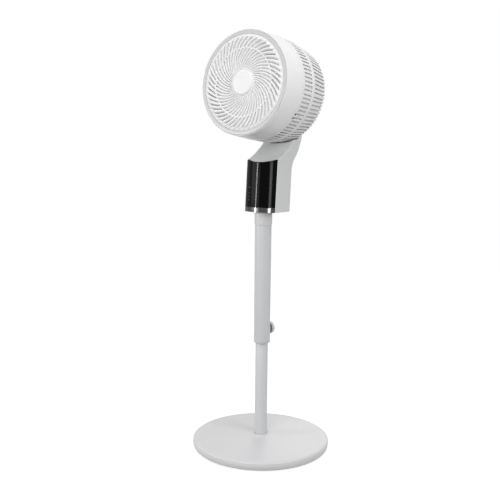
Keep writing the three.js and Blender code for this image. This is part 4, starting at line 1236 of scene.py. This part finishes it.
def make_blades():
    hub_inner_r = BLADE_HUB_R - 2.5
    hub = rounded([
        (BLADE_HUB_BORE_R, 30),
        (25, 30, 4),
        (BLADE_HUB_R, 35, 4),
        (BLADE_HUB_R, 68, 0.6),
        (hub_inner_r, 68),
        (hub_inner_r, 35),
        (9, 34),
        (9, 54),
        (BLADE_HUB_BORE_R, 54),
    ])
    parts = [along_head_y(hub, 96)]
    parts += [blade(2 * pi * i / BLADE_COUNT) for i in range(BLADE_COUNT)]
    points, faces = merged(*parts)
    piece(
        "blade_set", "rotor", ["fan_blades"], points, faces,
        white_grille, HEAD,
    )


# ---------------------------------------------------------------- studio

CAMERA_SENSOR = 36
CAMERA_LENS = 54
CAMERA_DISTANCE = 1699.6
CAMERA_HEIGHT = 687.34
CAMERA_AZIMUTH = radians(35.35)
CAMERA_PITCH = 0.13073
CAMERA_SWING = -0.01742
CAMERA_ROLL = 0.01086
LIGHTS_AIM = Vector((0, 0, 0.65))
LAMP_DISTANCE = 2.6
FLOOR_HALF = 12


def make_camera():
    """The photo's camera: its place and its turns come from a fit to the photo."""
    data = bpy.data.cameras.new("camera")
    data.sensor_width = CAMERA_SENSOR
    data.lens = CAMERA_LENS
    data.clip_end = 100
    camera = bpy.data.objects.new("camera", data)
    p, w, r = CAMERA_PITCH, CAMERA_SWING, CAMERA_ROLL
    forward = Vector((sin(w) * cos(p), cos(w) * cos(p), -sin(p)))
    level = Vector((cos(w), -sin(w), 0))
    upright = level.cross(forward)
    right = cos(r) * level + sin(r) * upright
    up = -sin(r) * level + cos(r) * upright
    basis = Matrix((right, up, -forward)).transposed().to_4x4()
    stand = Matrix.Translation((0, -CAMERA_DISTANCE * MM, CAMERA_HEIGHT * MM))
    camera.matrix_world = Matrix.Rotation(CAMERA_AZIMUTH, 4, "Z") @ stand @ basis
    bpy.context.scene.collection.objects.link(camera)
    bpy.context.scene.camera = camera


def area_light(name, place, size, power):
    """A lamp that shines at the fan's middle. Its place and size are in metres."""
    data = bpy.data.lights.new(name, "AREA")
    data.shape = "RECTANGLE"
    data.size, data.size_y = size
    data.energy = power
    light = bpy.data.objects.new(name, data)
    light.visible_camera = False
    light.location = place
    light.rotation_euler = (LIGHTS_AIM - place).to_track_quat("-Z", "Y").to_euler()
    bpy.context.scene.collection.objects.link(light)


def toward(azimuth, elevation, distance=LAMP_DISTANCE):
    """A place around the lamps' aim: azimuth from the way that the fan blows towards +X."""
    turn, rise = radians(azimuth), radians(elevation)
    level = distance * cos(rise)
    return LIGHTS_AIM + Vector((level * sin(turn), -level * cos(turn), distance * sin(rise)))


def make_lights():
    area_light("key", toward(32, 64), (1.1, 1.1), 15.5)
    area_light("side", toward(80, 24), (1.3, 1.1), 24)
    area_light("left_box", toward(-46, 2.3), (1.8, 0.3), 7)
    area_light("left_strip", toward(-40.4, 2.7, 2.55), (0.12, 0.36), 15)
    area_light("back", toward(200, 12), (1.3, 1.1), 8)
    area_light("right_strip", toward(17, 2.7), (0.4, 0.36), 10)


def sees_background(tree):
    """1 for camera, glossy and transmission rays, which see the white background."""
    path = tree.nodes.new("ShaderNodeLightPath")
    seen = path.outputs["Is Camera Ray"]
    for kind in ("Is Glossy Ray", "Is Transmission Ray"):
        larger = tree.nodes.new("ShaderNodeMath")
        larger.operation = "MAXIMUM"
        tree.links.new(seen, larger.inputs[0])
        tree.links.new(path.outputs[kind], larger.inputs[1])
        seen = larger.outputs[0]
    return seen


def white_world(tree, strength):
    """A white background of this strength."""
    node = tree.nodes.new("ShaderNodeBackground")
    node.inputs["Color"].default_value = (1, 1, 1, 1)
    node.inputs["Strength"].default_value = strength
    return node.outputs[0]


def make_world():
    """A weak white dome that lights the fan, and full white where it is seen."""
    world = bpy.data.worlds.new("studio")
    bpy.context.scene.world = world
    world.use_nodes = True
    tree = world.node_tree
    tree.nodes.clear()
    mix = tree.nodes.new("ShaderNodeMixShader")
    out = tree.nodes.new("ShaderNodeOutputWorld")
    tree.links.new(sees_background(tree), mix.inputs["Fac"])
    tree.links.new(white_world(tree, 0.5), mix.inputs[1])
    tree.links.new(white_world(tree, 1), mix.inputs[2])
    tree.links.new(mix.outputs[0], out.inputs["Surface"])


def make_floor():
    """A pale floor that takes the fan's shadow, and glows to white where it is seen."""
    corners = [(-1, -1), (1, -1), (1, 1), (-1, 1)]
    mesh = bpy.data.meshes.new("floor")
    mesh.from_pydata([(x * FLOOR_HALF, y * FLOOR_HALF, 0) for x, y in corners], [], [(0, 1, 2, 3)])
    floor = bpy.data.objects.new("floor", mesh)
    bpy.context.scene.collection.objects.link(floor)
    material, tree, shader, add = node_material("pale_floor")
    shader.inputs["Specular IOR Level"].default_value = 0
    shader.inputs["Roughness"].default_value = 0.8
    mottled_colour(tree, add, shader, object_noise(tree, add, 3), (0.4, 0.4, 0.4), 0.01)
    glow = add("ShaderNodeEmission", Strength=0.8)
    shown = add("ShaderNodeAddShader")
    mix = add("ShaderNodeMixShader")
    tree.links.new(shader.outputs[0], shown.inputs[0])
    tree.links.new(glow.outputs[0], shown.inputs[1])
    tree.links.new(sees_background(tree), mix.inputs["Fac"])
    tree.links.new(shader.outputs[0], mix.inputs[1])
    tree.links.new(shown.outputs[0], mix.inputs[2])
    tree.links.new(mix.outputs[0], tree.nodes["Material Output"].inputs["Surface"])
    mesh.materials.append(material)


# ---------------------------------------------------------------- put together

make_camera()
make_world()
make_lights()
make_floor()
make_base()
make_pole()
make_knob()
make_neck()
make_panel_marks()
make_cover_screws()
make_power_inlet()
make_tilt_hinge()
make_shell()
make_trim_ring()
make_front_grille()
make_hub_cap()
make_rear_grille()
make_motor()
make_blades()

bpy.context.scene.view_settings.view_transform = "Standard"
